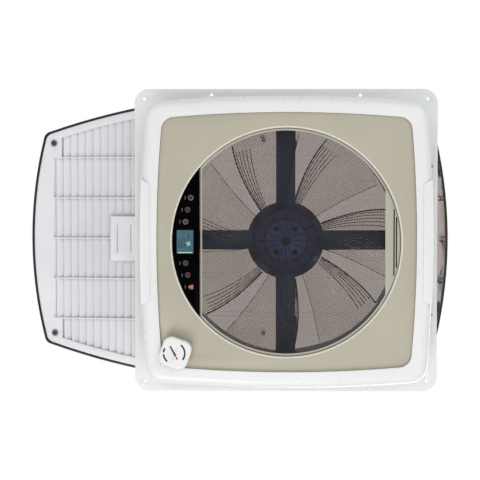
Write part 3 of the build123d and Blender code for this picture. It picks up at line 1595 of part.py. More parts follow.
with BuildPart() as track_screws:
    for head_radius, length in (
        (track_screw_head_radius, -track_screw_head_height),
        (track_screw_radius, track_foot_thickness + track_boss_drop - seat_gap),
    ):
        with BuildSketch(lid_level(track_foot_z)):
            for side in (1, -1):
                with Locations(
                    (track_middle_x - track_screw_offset, side * track_screw_y),
                    (track_middle_x + track_screw_offset, side * track_screw_y),
                ):
                    Circle(head_radius)
        extrude(amount=length)
track_screws.part.label = "track_screws"
export_step(track_screws.part, "parts/track_screws.step")

# Lift shaft, arms and rollers

arm_angle_at_rest = radians(arm_closed_angle + arm_ratio * lid_rest_tilt)
arm_direction = (cos(arm_angle_at_rest), 0, sin(arm_angle_at_rest))
tip_x = shaft_x + arm_length * cos(arm_angle_at_rest)
tip_z = shaft_z + arm_length * sin(arm_angle_at_rest)

with BuildPart() as lift_shaft:
    with BuildSketch(facing_side(shaft_x, 0, shaft_z)):
        Circle(shaft_radius)
    extrude(amount=shaft_half_length, both=True)
lift_shaft.part.label = "lift_shaft"
export_step(lift_shaft.part, "parts/lift_shaft.step")

bush_face_y = upstand_half_width - base_wall - shaft_boss_depth

with BuildPart() as shaft_bushes:
    for side in (1, -1):
        with BuildSketch(facing_side(shaft_x, side * bush_face_y, shaft_z)):
            Circle(shaft_bush_radius)
            Circle(shaft_radius + running_gap, mode=Mode.SUBTRACT)
        extrude(amount=-side * shaft_bush_length)
shaft_bushes.part.label = "shaft_bushes"
export_step(shaft_bushes.part, "parts/shaft_bushes.step")

for side, arm_name in ((1, "lift_arm_near"), (-1, "lift_arm_far")):
    with BuildPart() as lift_arm:
        arm_place = facing_side(
            shaft_x, side * arm_y + arm_thickness / 2, shaft_z, direction=arm_direction
        )
        with BuildSketch(arm_place):
            Circle(arm_eye_radius)
            with Locations((arm_length, 0)):
                Circle(arm_tip_radius)
            make_hull()
            Circle(shaft_radius + press_gap, mode=Mode.SUBTRACT)
            with Locations((arm_length, 0)):
                Circle(roller_pin_radius + press_gap, mode=Mode.SUBTRACT)
        extrude(amount=arm_thickness)
    lift_arm.part.label = arm_name
    export_step(lift_arm.part, f"parts/{arm_name}.step")

roller_inner_y = roller_y - roller_width / 2

with BuildPart() as roller_pins:
    for side in (1, -1):
        with BuildSketch(facing_side(tip_x, side * (arm_y + arm_thickness / 2), tip_z)):
            Circle(roller_pin_radius)
        extrude(amount=side * (arm_y + arm_thickness / 2 - roller_inner_y + seat_gap))
        with BuildSketch(facing_side(tip_x, side * (roller_inner_y - seat_gap), tip_z)):
            Circle(roller_pin_head_radius)
        extrude(amount=side * roller_pin_head_height)
roller_pins.part.label = "roller_pins"
export_step(roller_pins.part, "parts/roller_pins.step")

for side, roller_name in ((1, "roller_near"), (-1, "roller_far")):
    with BuildPart() as roller:
        with BuildSketch(facing_side(tip_x, side * roller_inner_y, tip_z)):
            Circle(roller_radius)
            Circle(roller_pin_radius + running_gap, mode=Mode.SUBTRACT)
        extrude(amount=-side * roller_width)
    roller.part.label = roller_name
    export_step(roller.part, f"parts/{roller_name}.step")

# Worm wheel, worm and knob

wheel_tip_radius = wheel_radius + worm_module
wheel_root_radius = wheel_radius - worm_module - mesh_gap

with BuildPart() as worm_wheel:
    with BuildSketch(facing_side(shaft_x, knob_y + wheel_width / 2, shaft_z)):
        Circle(wheel_root_radius)
        with PolarLocations(0, wheel_teeth):
            with BuildLine():
                Polyline(
                    (wheel_root_radius - mesh_gap, -tooth_root_width / 2),
                    (wheel_tip_radius, -tooth_tip_width / 2),
                    (wheel_tip_radius, tooth_tip_width / 2),
                    (wheel_root_radius - mesh_gap, tooth_root_width / 2),
                    close=True,
                )
            make_face()
        Circle(shaft_radius + press_gap, mode=Mode.SUBTRACT)
    extrude(amount=wheel_width)
worm_wheel.part.label = "worm_wheel"
export_step(worm_wheel.part, "parts/worm_wheel.step")

worm_half_length = bracket_shelf_gap - seat_gap
thread_start_z = shaft_z - worm_half_turns / 2 * worm_lead

with BuildPart() as drive_worm:
    with BuildLine() as thread_path:
        Helix(
            pitch=worm_lead,
            height=worm_half_turns * worm_lead,
            radius=worm_root_radius,
            center=(knob_x, knob_y, thread_start_z),
        )
    thread_place = Plane(
        origin=(knob_x + worm_root_radius, knob_y, thread_start_z),
        x_dir=(1, 0, 0),
        z_dir=thread_path.line % 0,
    )
    with BuildSketch(thread_place):
        with BuildLine():
            Polyline(
                (-mesh_gap, -thread_root_width / 2),
                (worm_outer_radius - worm_root_radius, -thread_tip_width / 2),
                (worm_outer_radius - worm_root_radius, thread_tip_width / 2),
                (-mesh_gap, thread_root_width / 2),
                close=True,
            )
        make_face()
    sweep(path=thread_path.line, is_frenet=True)
    with BuildSketch(Plane.XY.offset(shaft_z - worm_half_length)):
        with Locations((knob_x, knob_y)):
            Circle(worm_root_radius)
    extrude(amount=2 * worm_half_length)
    with BuildSketch(Plane.XY.offset(shaft_z - worm_half_length)):
        with Locations((knob_x, knob_y)):
            Circle(knob_shaft_radius + press_gap)
    extrude(amount=2 * worm_half_length, mode=Mode.SUBTRACT)
drive_worm.part.label = "drive_worm"
export_step(drive_worm.part, "parts/drive_worm.step")

shelf_top_z = shaft_z + bracket_shelf_gap + bracket_web
knob_shaft_bottom = knob_bottom_z + knob_height / 3

with BuildPart() as knob_shaft:
    with BuildSketch(Plane.XY.offset(knob_shaft_bottom)):
        with Locations((knob_x, knob_y)):
            Circle(knob_shaft_radius)
    extrude(amount=shelf_top_z - knob_shaft_bottom)
knob_shaft.part.label = "knob_shaft"
export_step(knob_shaft.part, "parts/knob_shaft.step")

with BuildPart() as knob:
    knob_place = Plane(
        origin=(knob_x, knob_y, knob_bottom_z),
        x_dir=(cos(radians(knob_turned)), sin(radians(knob_turned)), 0),
        z_dir=(0, 0, 1),
    )
    with BuildSketch(knob_place):
        RectangleRounded(knob_side, knob_side, knob_corner_radius)
    extrude(amount=knob_height)
    fillet(knob.faces().sort_by(Axis.Z)[0].edges(), radius=knob_edge_round)
    with BuildSketch(knob_place):
        Circle(knob_neck_radius)
    extrude(amount=bezel_face_z - seat_gap - knob_bottom_z)
    with BuildSketch(Plane.XY.offset(knob_shaft_bottom)):
        with Locations((knob_x, knob_y)):
            Circle(knob_shaft_radius + press_gap)
    extrude(amount=knob_height * 2, mode=Mode.SUBTRACT)
    with BuildSketch(knob_place):
        SlotOverall(knob_pointer_length, knob_pointer_width, rotation=90)
    extrude(amount=knob_pointer_depth, mode=Mode.SUBTRACT)
knob.part.label = "knob"
export_step(knob.part, "parts/knob.step")

lower_shelf_z = shaft_z - bracket_shelf_gap - bracket_web

with BuildPart() as drive_bracket:
    bracket_length = bracket_right_x - bracket_left_x
    with BuildSketch(Plane.XY.offset(deck_top)):
        with Locations((bracket_left_x, bracket_web_y)):
            Rectangle(bracket_length, bracket_web, align=(Align.MIN, Align.CENTER))
    extrude(amount=shelf_top_z - deck_top)
    for shelf_z in (lower_shelf_z, shelf_top_z - bracket_web):
        with BuildSketch(Plane.XY.offset(shelf_z)):
            with Locations((bracket_left_x, bracket_web_y)):
                Rectangle(bracket_length, bracket_shelf_reach, align=(Align.MIN, Align.MIN))
        extrude(amount=bracket_web)
    with BuildSketch(Plane.XY.offset(deck_top)):
        with Locations((bracket_left_x, bracket_web_y)):
            Rectangle(bracket_length, bracket_foot_reach, align=(Align.MIN, Align.MAX))
    extrude(amount=bracket_web)
    with BuildSketch(Plane.XY.offset(deck_top)):
        with Locations((knob_x, knob_y)):
            Circle(knob_bush_radius + press_gap)
    extrude(amount=shelf_top_z - deck_top, mode=Mode.SUBTRACT)
    with BuildSketch(facing_side(shaft_x, bracket_web_y + bracket_web / 2, shaft_z)):
        Circle(shaft_radius + seat_gap)
    extrude(amount=bracket_web, mode=Mode.SUBTRACT)
    with BuildSketch(Plane.XY.offset(deck_top)):
        with Locations(
            (bracket_left_x + bracket_foot_reach / 2, bracket_web_y - bracket_foot_reach / 2),
            (bracket_right_x - bracket_foot_reach / 2, bracket_web_y - bracket_foot_reach / 2),
        ):
            Circle(drive_screw_radius + press_gap)
    extrude(amount=bracket_web, mode=Mode.SUBTRACT)
drive_bracket.part.label = "drive_bracket"
export_step(drive_bracket.part, "parts/drive_bracket.step")

with BuildPart() as drive_screws:
    for head_radius, length in (
        (drive_screw_head_radius, drive_screw_head_height),
        (drive_screw_radius, -drive_screw_length),
    ):
        with BuildSketch(Plane.XY.offset(deck_top + bracket_web)):
            with Locations(
                (bracket_left_x + bracket_foot_reach / 2, bracket_web_y - bracket_foot_reach / 2),
                (bracket_right_x - bracket_foot_reach / 2, bracket_web_y - bracket_foot_reach / 2),
            ):
                Circle(head_radius)
        extrude(amount=length)
drive_screws.part.label = "drive_screws"
export_step(drive_screws.part, "parts/drive_screws.step")

with BuildPart() as knob_bushes:
    for bush_z, length in (
        (bezel_face_z + bezel_thickness, knob_bush_length),
        (lower_shelf_z, bracket_web),
        (shelf_top_z - bracket_web, bracket_web),
    ):
        with BuildSketch(Plane.XY.offset(bush_z)):
            with Locations((knob_x, knob_y)):
                Circle(knob_bush_radius)
                Circle(knob_shaft_radius + running_gap, mode=Mode.SUBTRACT)
        extrude(amount=length)
knob_bushes.part.label = "knob_bushes"
export_step(knob_bushes.part, "parts/knob_bushes.step")

# Supply terminal and motor lead

with BuildPart() as terminal_block:
    with BuildSketch(Plane.XY.offset(deck_height)):
        with Locations((terminal_x, terminal_y)):
            Rectangle(terminal_length, terminal_width)
    extrude(amount=-terminal_height)
    with BuildSketch(facing_side(terminal_x, terminal_y + terminal_width / 2, deck_height)):
        with Locations(
            (-terminal_length / 4, -terminal_height / 2),
            (terminal_length / 4, -terminal_height / 2),
        ):
            Circle(terminal_hole_radius)
    extrude(amount=terminal_width * 0.75, mode=Mode.SUBTRACT)
    with BuildSketch(Plane.XY.offset(deck_height - terminal_height)):
        with Locations(
            (terminal_x - terminal_length / 4, terminal_y),
            (terminal_x + terminal_length / 4, terminal_y),
        ):
            Circle(terminal_screw_radius)
    extrude(amount=terminal_hole_radius, mode=Mode.SUBTRACT)
terminal_block.part.label = "terminal_block"
export_step(terminal_block.part, "parts/terminal_block.step")

lead_inner_x = motor_wall - motor_radius
lead_points = (
    (lead_inner_x, 0, lead_out_z),
    (lead_inner_x - lead_inner_reach, 0, lead_out_z),
    (lead_inner_x - lead_inner_reach - lead_slope_reach, 0, lead_run_z),
    (-lead_down_radius, 0, lead_run_z),
    (-lead_down_radius, 0, lead_low_z),
    (lead_plug_x, 0, lead_low_z),
)

with BuildPart() as motor_lead:
    with BuildLine() as lead_path:
        FilletPolyline(*lead_points, radius=[lead_slope_bend, lead_slope_bend, lead_bend, lead_bend])
    with BuildSketch(facing_end(lead_inner_x, 0, lead_out_z)):
        Circle(lead_radius)
    sweep(path=lead_path.line)
motor_lead.part.label = "motor_lead"
export_step(motor_lead.part, "parts/motor_lead.step")
lead_length = lead_path.wire().length
print("lead volume", motor_lead.part.volume, "by its length", pi * lead_radius**2 * lead_length)

with BuildPart() as lead_plug:
    with BuildSketch(Plane.XY.offset(board_top_z)):
        with Locations((lead_plug_x, 0)):
            Rectangle(plug_length, plug_width, align=(Align.MIN, Align.CENTER))
    extrude(amount=plug_height)
lead_plug.part.label = "lead_plug"
export_step(lead_plug.part, "parts/lead_plug.step")
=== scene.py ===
"""Dresses the powered caravan roof vent: finishes, fine moulded detail, printed marks, net, light and camera.

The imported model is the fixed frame. Lengths in the classes are in millimetres, as a maker draws them,
and become metres where a mesh is made. +Z is up to the sky, the camera looks up at the ceiling side.
"""
import logging
from dataclasses import dataclass
from enum import Enum
from math import ceil, cos, floor, pi, radians, sin, sqrt
from typing import Any, Iterable, Optional, Sequence

import bmesh
import bpy
from mathutils import Matrix, Vector
from mathutils.bvhtree import BVHTree

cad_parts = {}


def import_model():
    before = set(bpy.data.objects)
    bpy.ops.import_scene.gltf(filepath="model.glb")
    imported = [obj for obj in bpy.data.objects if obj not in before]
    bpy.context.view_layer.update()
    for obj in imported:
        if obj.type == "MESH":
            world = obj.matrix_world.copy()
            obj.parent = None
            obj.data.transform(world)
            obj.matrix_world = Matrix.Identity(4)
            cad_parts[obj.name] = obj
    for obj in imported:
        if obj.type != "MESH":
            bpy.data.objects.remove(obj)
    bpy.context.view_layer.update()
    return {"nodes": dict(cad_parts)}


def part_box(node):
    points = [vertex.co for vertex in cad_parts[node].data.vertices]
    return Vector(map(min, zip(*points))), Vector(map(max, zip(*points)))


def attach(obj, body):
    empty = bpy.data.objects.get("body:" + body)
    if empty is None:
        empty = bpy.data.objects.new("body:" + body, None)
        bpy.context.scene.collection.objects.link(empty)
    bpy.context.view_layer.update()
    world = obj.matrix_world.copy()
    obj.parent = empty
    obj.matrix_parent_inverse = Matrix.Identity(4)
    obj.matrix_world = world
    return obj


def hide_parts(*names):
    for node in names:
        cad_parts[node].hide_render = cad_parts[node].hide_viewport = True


MM = 0.001
LOG = logging.getLogger("roof_vent")
Point = tuple[float, float, float]
Flat = tuple[float, float]
Tree = bpy.types.NodeTree
Socket = bpy.types.NodeSocket
Outputs = bpy.types.bpy_prop_collection
Piece = bpy.types.Object
Shape = bmesh.types.BMesh
Nodes = dict[str, Piece]
WHOLE_TURN: Flat = (0.0, 360.0)
# thickness of printed ink, and the height that rays rise from, both in millimetres
INK = 0.08
RAY_START = -50.0


def linear(hex_colour: str) -> tuple[float, float, float, float]:
    """Turns an sRGB hex value into linear colour.

    Args:
        hex_colour: Six hex digits with a leading hash sign.

    Returns:
        Linear red, green, blue and an alpha of one.
    """
    parts = [int(hex_colour[i:i + 2], 16) / 255 for i in (1, 3, 5)]
    low, slope, offset, power = 0.04045, 12.92, 0.055, 2.4
    red, green, blue = (c / slope if c <= low else ((c + offset) / (1 + offset)) ** power for c in parts)
    return red, green, blue, 1.0


def add(tree: Tree, kind: str, sockets: Optional[dict[Any, Any]] = None,
        **settings: Any) -> bpy.types.Node:
    """Adds one node with its settings, values and links.

    Args:
        tree: The node tree that takes the node.
        kind: The node's type name.
        sockets: Values, or output sockets to link, by input name or number.
        **settings: The node's own properties.

    Returns:
        The new node.
    """
    node = tree.nodes.new(kind)
    for name, value in settings.items():
        setattr(node, name, value)
    for name, value in (sockets or {}).items():
        if isinstance(value, Socket):
            tree.links.new(value, node.inputs[name])
        else:
            node.inputs[name].default_value = value
    return node


def remap(tree: Tree, value: Socket, span: Flat, becomes: Flat = (0.0, 1.0)) -> Socket:
    """Adds a node that turns a span of a value into another span, and returns its result."""
    return add(tree, "ShaderNodeMapRange", {"Value": value, "From Min": span[0], "From Max": span[1],
                                            "To Min": becomes[0], "To Max": becomes[1]}).outputs["Result"]


def blend(tree: Tree, share: Socket, first: Any, second: Any) -> Socket:
    """Adds a node that goes from a first to a second colour with a share, and returns its result."""
    return add(tree, "ShaderNodeMix", {0: share, 6: first, 7: second}, data_type="RGBA").outputs[2]


class Pattern(Enum):
    """Surface patterns that a finish may carry."""

    SPARK_GRAIN = "noise of a spark-eroded mould"
    ORANGE_PEEL = "slow waves of a moulded or thermoformed face"
    BRUSHED = "fine lines along X"
    WOVEN = "fine crossing ribs"


SPARK_GRAIN, ORANGE_PEEL, BRUSHED, WOVEN = Pattern


@dataclass(frozen=True)
class Finish:
    """A material by its real name and process, with what its surface shows.

    The grain is the small relief and the drift is the slow change of tone across a piece. Where the occlusion
    node finds faces close by, in creases and recesses, the tone goes darker: painted shade. A clear plastic
    has its edge-on tone where it is seen along its wall, a painted shade that stands for light passing more
    of it.
    """

    name: str
    colour: str
    second: str
    roughness: float
    pattern: Pattern = SPARK_GRAIN
    grain: float = 0.8
    grain_height: float = 0.02
    drift: float = 90.0
    rough_swing: float = 0.06
    crevice_shade: str = ""
    crevice_shade_reach: float = 4.0
    edge_on_shade: str = ""
    settings: tuple[tuple[str, Any], ...] = ()
    # the spans of the slow noise, the painted crevice shade, the slant of the painted edge-on shade and the
    # relief that carry a change
    drift_span: Flat = (0.3, 0.7)
    crevice_shade_span: Flat = (0.35, 0.9)
    slant_span: Flat = (0.35, 0.95)
    relief_span: Flat = (0.25, 0.75)
    drift_detail: float = 3.0
    drift_roughness: float = 0.55
    shade_rays: int = 6
    slant_blend: float = 0.35
    least_rough: float = 0.02
    line_stretch: float = 0.04
    wave_detail: float = 1.0
    grain_detail: float = 4.0

    def build(self) -> bpy.types.Material:
        """Makes the material.

        Returns:
            The node material, made once and then found by its name.
        """
        found = bpy.data.materials.get(self.name)
        if found:
            return found
        material = bpy.data.materials.new(self.name)
        material.use_nodes = True
        tree = material.node_tree
        tree.nodes.clear()
        place = add(tree, "ShaderNodeTexCoord").outputs["Object"]
        drift = add(tree, "ShaderNodeTexNoise", {
            "Vector": place, "Scale": 1 / (self.drift * MM), "Detail": self.drift_detail,
            "Roughness": self.drift_roughness}).outputs["Fac"]
        tone = blend(tree, remap(tree, drift, self.drift_span), linear(self.colour), linear(self.second))
        # painted shade: the tone darkens towards the crevice shade colour where the occlusion node finds
        # faces close by
        if self.crevice_shade:
            shade = add(tree, "ShaderNodeAmbientOcclusion", {"Distance": self.crevice_shade_reach * MM},
                        samples=self.shade_rays)
            crevice_shade_share = remap(tree, shade.outputs["AO"], self.crevice_shade_span, (1.0, 0.0))
            tone = blend(tree, crevice_shade_share, tone, linear(self.crevice_shade))
        # painted shade: the tone goes towards the edge-on colour where a face is seen at a slant
        if self.edge_on_shade:
            slant = add(tree, "ShaderNodeLayerWeight", {"Blend": self.slant_blend}).outputs["Facing"]
            tone = blend(tree, remap(tree, slant, self.slant_span), tone, linear(self.edge_on_shade))
        height = self.relief(tree, place)
        swing = (max(self.roughness - self.rough_swing, self.least_rough), self.roughness + self.rough_swing)
        bump = add(tree, "ShaderNodeBump", {"Height": height, "Strength": 1.0,
                                            "Distance": self.grain_height * MM})
        shader = add(tree, "ShaderNodeBsdfPrincipled", {
            "Base Color": tone, "Roughness": remap(tree, height, self.relief_span, swing),
            "Normal": bump.outputs["Normal"],
            **{name: linear(value) if isinstance(value, str) else value for name, value in self.settings}})
        add(tree, "ShaderNodeOutputMaterial", {"Surface": shader.outputs["BSDF"]})
        return material

    def relief(self, tree: Tree, place: Socket) -> Socket:
        """Builds the small relief, which the roughness swings with.

        Args:
            tree: The material's node tree.
            place: Object coordinates.

        Returns:
            Its height.
        """
        scale = 1 / (self.grain * MM)
        if self.pattern is WOVEN:
            waves = [add(tree, "ShaderNodeTexWave", {"Vector": place, "Scale": scale / (2 * pi)},
                         bands_direction=axis).outputs["Fac"] for axis in ("X", "Y")]
            return add(tree, "ShaderNodeMath", {0: waves[0], 1: waves[1]}, operation="MAXIMUM").outputs[0]
        if self.pattern is BRUSHED:
            lines = add(tree, "ShaderNodeMapping", {"Vector": place, "Scale": (self.line_stretch, 1.0, 1.0)})
            place = lines.outputs["Vector"]
        detail = self.wave_detail if self.pattern is ORANGE_PEEL else self.grain_detail
        noise = add(tree, "ShaderNodeTexNoise", {"Vector": place, "Scale": scale, "Detail": detail})
        return noise.outputs["Fac"]


# Flange and upstand: natural polypropylene, injection moulded. Milky, cool, soft gloss, light soaks into it.
POLYPROPYLENE_MOULDED = Finish(
    "polypropylene_injection_moulded", "#F2F4F2", "#ECEEED", 0.34, ORANGE_PEEL, 14.0, 0.03, 120.0,
    settings=(("Subsurface Weight", 0.35), ("Subsurface Radius", (0.006, 0.006, 0.007)),
              ("Subsurface Scale", 1.0), ("IOR", 1.49)))
# Ceiling frame: ABS, injection moulded and buffed. Clean white with broad soft highlights, and a pale painted
# shade in its creases.
ABS_WHITE_SATIN = Finish(
    "abs_white_injection_moulded_satin", "#F4F4F2", "#EFEFEE", 0.3, ORANGE_PEEL, 22.0, 0.02, 160.0,
    crevice_shade="#DADAD6", crevice_shade_reach=3.0,
    settings=(("IOR", 1.53), ("Coat Weight", 0.15), ("Coat Roughness", 0.18)))
# Louvre liner: the same ABS from a finer mould. White, a little warmer in its depths, with a blue-grey
# painted shade in the hollows between its slats.
ABS_WHITE_LOUVRE = Finish(
    "abs_white_louvre_moulding", "#F2F2F4", "#EAEBEE", 0.38, SPARK_GRAIN, 1.2, 0.012, 110.0,
    crevice_shade="#B2B4BE", crevice_shade_reach=5.0, settings=(("IOR", 1.53), ("Subsurface Weight", 0.1),
                                               ("Subsurface Radius", (0.003, 0.003, 0.003))))
# Bezel: ABS with a fine spark grain. Warm greige that scatters its highlight.
ABS_BEIGE_GRAINED = Finish(
    "abs_beige_fine_spark_grain", "#C0BAA7", "#BAB4A1", 0.42, SPARK_GRAIN, 0.7, 0.02, 140.0,
    settings=(("IOR", 1.53), ("Metallic", 0.12)))
# Screen frame: the same, with a near-black painted shade in and round its slits, where no light gets in.
ABS_BEIGE_SCREEN = Finish(
    "abs_beige_fine_spark_grain_slotted", "#BFBAA8", "#B9B4A2", 0.4, SPARK_GRAIN, 0.7, 0.015, 140.0,
    crevice_shade="#1E1C18", crevice_shade_reach=2.4, settings=(("IOR", 1.53),))
# Aperture edge: the bezel's bevel, polished by the tool. A cream line of painted highlight, much paler than
# the bezel, where the bevel catches light.
ABS_CREAM_PAINTED_HIGHLIGHT = Finish(
    "abs_cream_polished_edge", "#FBF9EE", "#F6F3E6", 0.22, ORANGE_PEEL, 9.0, 0.01, 60.0)
# Control fascia: polished polycarbonate, back printed black. Deep, mirror-like.
POLYCARBONATE_BLACK = Finish(
    "polycarbonate_back_printed_black", "#020202", "#030303", 0.14, ORANGE_PEEL, 18.0, 0.004, 60.0,
    rough_swing=0.02, settings=(("IOR", 1.2), ("Specular IOR Level", 0.1)))
# Keys: silicone-backed caps of the same black, a little softer from touch.
CAP_BLACK = Finish(
    "polycarbonate_cap_black_satin", "#0B0A0B", "#121011", 0.2, SPARK_GRAIN, 0.6, 0.006, 12.0)
# Display: liquid crystal glass lit from behind. Teal, slightly uneven, with its own light.
LIQUID_CRYSTAL = Finish(
    "liquid_crystal_glass_backlit", "#3A626B", "#315863", 0.12, ORANGE_PEEL, 9.0, 0.003, 16.0,
    rough_swing=0.02, settings=(("Emission Color", "#3F7078"), ("Emission Strength", 0.12)))
# Figures and signs: the same glass where it darkens or clears.
CRYSTAL_DARK = Finish(
    "liquid_crystal_segment_dark", "#16263F", "#1C2E49", 0.2, ORANGE_PEEL, 6.0, 0.002, 8.0)
CRYSTAL_LIGHT = Finish(
    "liquid_crystal_icon_light", "#A9C9C9", "#9CC0C2", 0.2, ORANGE_PEEL, 6.0, 0.002, 8.0,
    settings=(("Emission Color", "#BFE5E2"), ("Emission Strength", 0.1)))


def lit_ink(name: str, colour: str, second: str, glow: str, power: float) -> Finish:
    """Makes the finish of a screen-printed ink that lamps under the panel shine through."""
    return Finish(name, colour, second, 0.45, SPARK_GRAIN, 0.5, 0.004, 5.0,
                  settings=(("Emission Color", glow), ("Emission Strength", power)))


# Printed key rings: screen ink lit by lamps under the panel. Dull colours with a faint glow of their own.
INK_ROSE = lit_ink("screen_ink_rose_backlit", "#7D6467", "#715659", "#8A666B", 0.18)
INK_RUST = lit_ink("screen_ink_rust_backlit", "#5E3B38", "#53322E", "#7A4038", 0.16)
INK_ORANGE = lit_ink("screen_ink_orange_backlit", "#B26B43", "#A65F38", "#D0703A", 0.22)
# Other prints: unlit screen ink on the fascia, and thick pad-printed ink on the knob. Flat and dull.
INK_GREY = Finish("screen_ink_grey", "#6E6E6C", "#5F5F5E", 0.5, SPARK_GRAIN, 0.5, 0.004, 5.0)
INK_BLACK = Finish("pad_print_ink_black", "#161615", "#1E1D1C", 0.42, SPARK_GRAIN, 0.6, 0.004, 9.0)
INK_RED = Finish("pad_print_ink_red", "#B5222B", "#A31C26", 0.42, SPARK_GRAIN, 0.6, 0.004, 9.0)
# Fan shroud and carrier: ABS, mould-coloured navy grey. Dull, with a faint bloom and a dark painted shade in
# its creases.
ABS_NAVY = Finish(
    "abs_navy_injection_moulded", "#2D3760", "#353F6A", 0.46, SPARK_GRAIN, 1.4, 0.02, 70.0,
    crevice_shade="#1A1C2A", crevice_shade_reach=5.0, settings=(("IOR", 1.53),))
# Fan: smoke styrene-acrylonitrile, moulded thin. Clear grey-brown, glossy, with a dark painted shade where it
# is seen edge on.
SAN_SMOKE = Finish(
    "san_smoke_moulded_clear", "#F5F2EF", "#F0ECE8", 0.05, ORANGE_PEEL, 26.0, 0.012, 60.0,
    rough_swing=0.02, edge_on_shade="#2B2830", settings=(("IOR", 1.2), ("Transmission Weight", 1.0)))
# Hub: the same plastic over its thick web, with the navy of the carrier behind it.
SAN_SMOKE_HUB = Finish(
    "san_smoke_hub_web", "#4E5588", "#474E7E", 0.2, ORANGE_PEEL, 12.0, 0.01, 40.0,
    settings=(("IOR", 1.4), ("Transmission Weight", 0.25)))
# Hub ring: the same plastic in its deepest wall. Blue-black.
SAN_SMOKE_RING = Finish(
    "san_smoke_hub_ring", "#0E0E22", "#131329", 0.2, ORANGE_PEEL, 12.0, 0.01, 40.0,
    settings=(("IOR", 1.4),))
# Blade edges: the same plastic where it is thickest, so it is nearly black.
SAN_SMOKE_EDGE = Finish(
    "san_smoke_thick_edge", "#37323A", "#2E2A31", 0.12, ORANGE_PEEL, 12.0, 0.01, 40.0,
    settings=(("IOR", 1.4), ("Transmission Weight", 0.35)))
# Flow ridges: the same plastic, a little thicker. Brown streaks.
SAN_SMOKE_RIDGE = Finish(
    "san_smoke_flow_ridge", "#4A4444", "#403A3A", 0.12, ORANGE_PEEL, 12.0, 0.01, 40.0,
    settings=(("IOR", 1.4), ("Transmission Weight", 0.6)))
# Lid: smoke acrylic, thermoformed. Glossy, brown-grey where light comes through, a little darker by painted
# shade where it is seen edge on, black along its rim.
ACRYLIC_SMOKE = Finish(
    "acrylic_smoke_thermoformed", "#C3B9B1", "#BCB2AA", 0.05, ORANGE_PEEL, 60.0, 0.06, 200.0,
    rough_swing=0.02, edge_on_shade="#A69D95", settings=(("IOR", 1.3), ("Transmission Weight", 0.97)))
# Lid rim: the same sheet seen through its sawn edge. Black, with a thin wet highlight.
ACRYLIC_SMOKE_RIM = Finish(
    "acrylic_smoke_sawn_edge", "#0E0D0D", "#151313", 0.22, BRUSHED, 0.6, 0.01, 60.0,
    settings=(("IOR", 1.49),))
# Tracks on the lid's pillars: clear acrylic, extruded. All but lost against the smoke sheet behind them.
ACRYLIC_CLEAR = Finish(
    "acrylic_clear_extruded", "#FBFAF8", "#F7F6F3", 0.06, ORANGE_PEEL, 30.0, 0.01, 60.0,
    rough_swing=0.02, settings=(("IOR", 1.12), ("Transmission Weight", 1.0)))
# Rim seal: EPDM, extruded. Matt black with a chalky bloom, and a blacker painted shade in its folds.
EPDM_EXTRUDED = Finish(
    "epdm_rubber_extruded", "#191919", "#242423", 0.72, BRUSHED, 0.8, 0.03, 40.0, crevice_shade="#0C0C0C")
# Motor lead: PVC, extruded. Soft black.
PVC_LEAD = Finish("pvc_lead_sheath_extruded", "#1B1B1C", "#262627", 0.5, SPARK_GRAIN, 0.6, 0.01, 18.0)
# Gears, bushes, rollers: acetal, moulded. Waxy off-white, with a grey painted shade in their hollows.
ACETAL_MOULDED = Finish(
    "acetal_moulded_waxy", "#E6E3D6", "#DCD8C9", 0.36, ORANGE_PEEL, 6.0, 0.01, 30.0, crevice_shade="#A9A594",
    settings=(("Subsurface Weight", 0.2), ("Subsurface Radius", (0.002, 0.002, 0.0015))))
# Small steel: zinc plated and clear passivated. Cool grey, faintly yellow and blue, with a dark painted shade
# in its hollows.
STEEL_ZINC = Finish(
    "steel_zinc_plated", "#B9BBBE", "#C4BFAF", 0.3, SPARK_GRAIN, 0.9, 0.01, 10.0, rough_swing=0.1,
    crevice_shade="#4A4844", crevice_shade_reach=1.5, settings=(("Metallic", 1.0),))
# Liner screws: steel, phosphated. Mid grey and dull, their recesses dark with painted shade.
STEEL_PHOSPHATED = Finish(
    "steel_phosphated", "#6A6C6E", "#5C5E60", 0.42, SPARK_GRAIN, 0.8, 0.012, 8.0,
    crevice_shade="#1B1B1C", crevice_shade_reach=1.5, settings=(("Metallic", 0.6),))
# Motor fixings: steel, black oxide. Nearly black with a dull metal glint.
STEEL_BLACK_OXIDE = Finish(
    "steel_black_oxide", "#26262A", "#1F1F23", 0.34, SPARK_GRAIN, 0.8, 0.01, 8.0,
    settings=(("Metallic", 0.9),))
# Shafts and pins: steel, drawn. Bright, with fine lines.
STEEL_DRAWN = Finish(
    "steel_drawn_bright", "#C3C4C6", "#AFB0B3", 0.26, BRUSHED, 0.5, 0.006, 16.0,
    settings=(("Metallic", 1.0),))
# Motor can: deep-drawn steel, stoved black enamel. Semi-gloss with slight orange peel, and a blacker painted
# shade in its hollows.
ENAMEL_BLACK = Finish(
    "enamel_black_stoved", "#17171A", "#202024", 0.3, ORANGE_PEEL, 2.5, 0.02, 30.0, crevice_shade="#0A0A0B",
    settings=(("Coat Weight", 0.3), ("Coat Roughness", 0.15)))
# Motor iron and magnets: laminations, varnished. Brown, finely lined.
LAMINATIONS_VARNISHED = Finish(
    "iron_laminations_varnished", "#4A3C30", "#5A4836", 0.48, BRUSHED, 0.5, 0.03, 12.0,
    settings=(("Metallic", 0.4),))
# Motor bushes: bronze, sintered. Warm, dull, finely pitted.
BRONZE_SINTERED = Finish(
    "bronze_sintered_oil_filled", "#A9783F", "#8F6434", 0.42, SPARK_GRAIN, 0.35, 0.015, 6.0,
    settings=(("Metallic", 1.0),))
# Board: glass epoxy with green solder mask.
EPOXY_GREEN = Finish(
    "glass_epoxy_solder_masked", "#1C5A34", "#17502E", 0.34, WOVEN, 1.1, 0.01, 20.0)
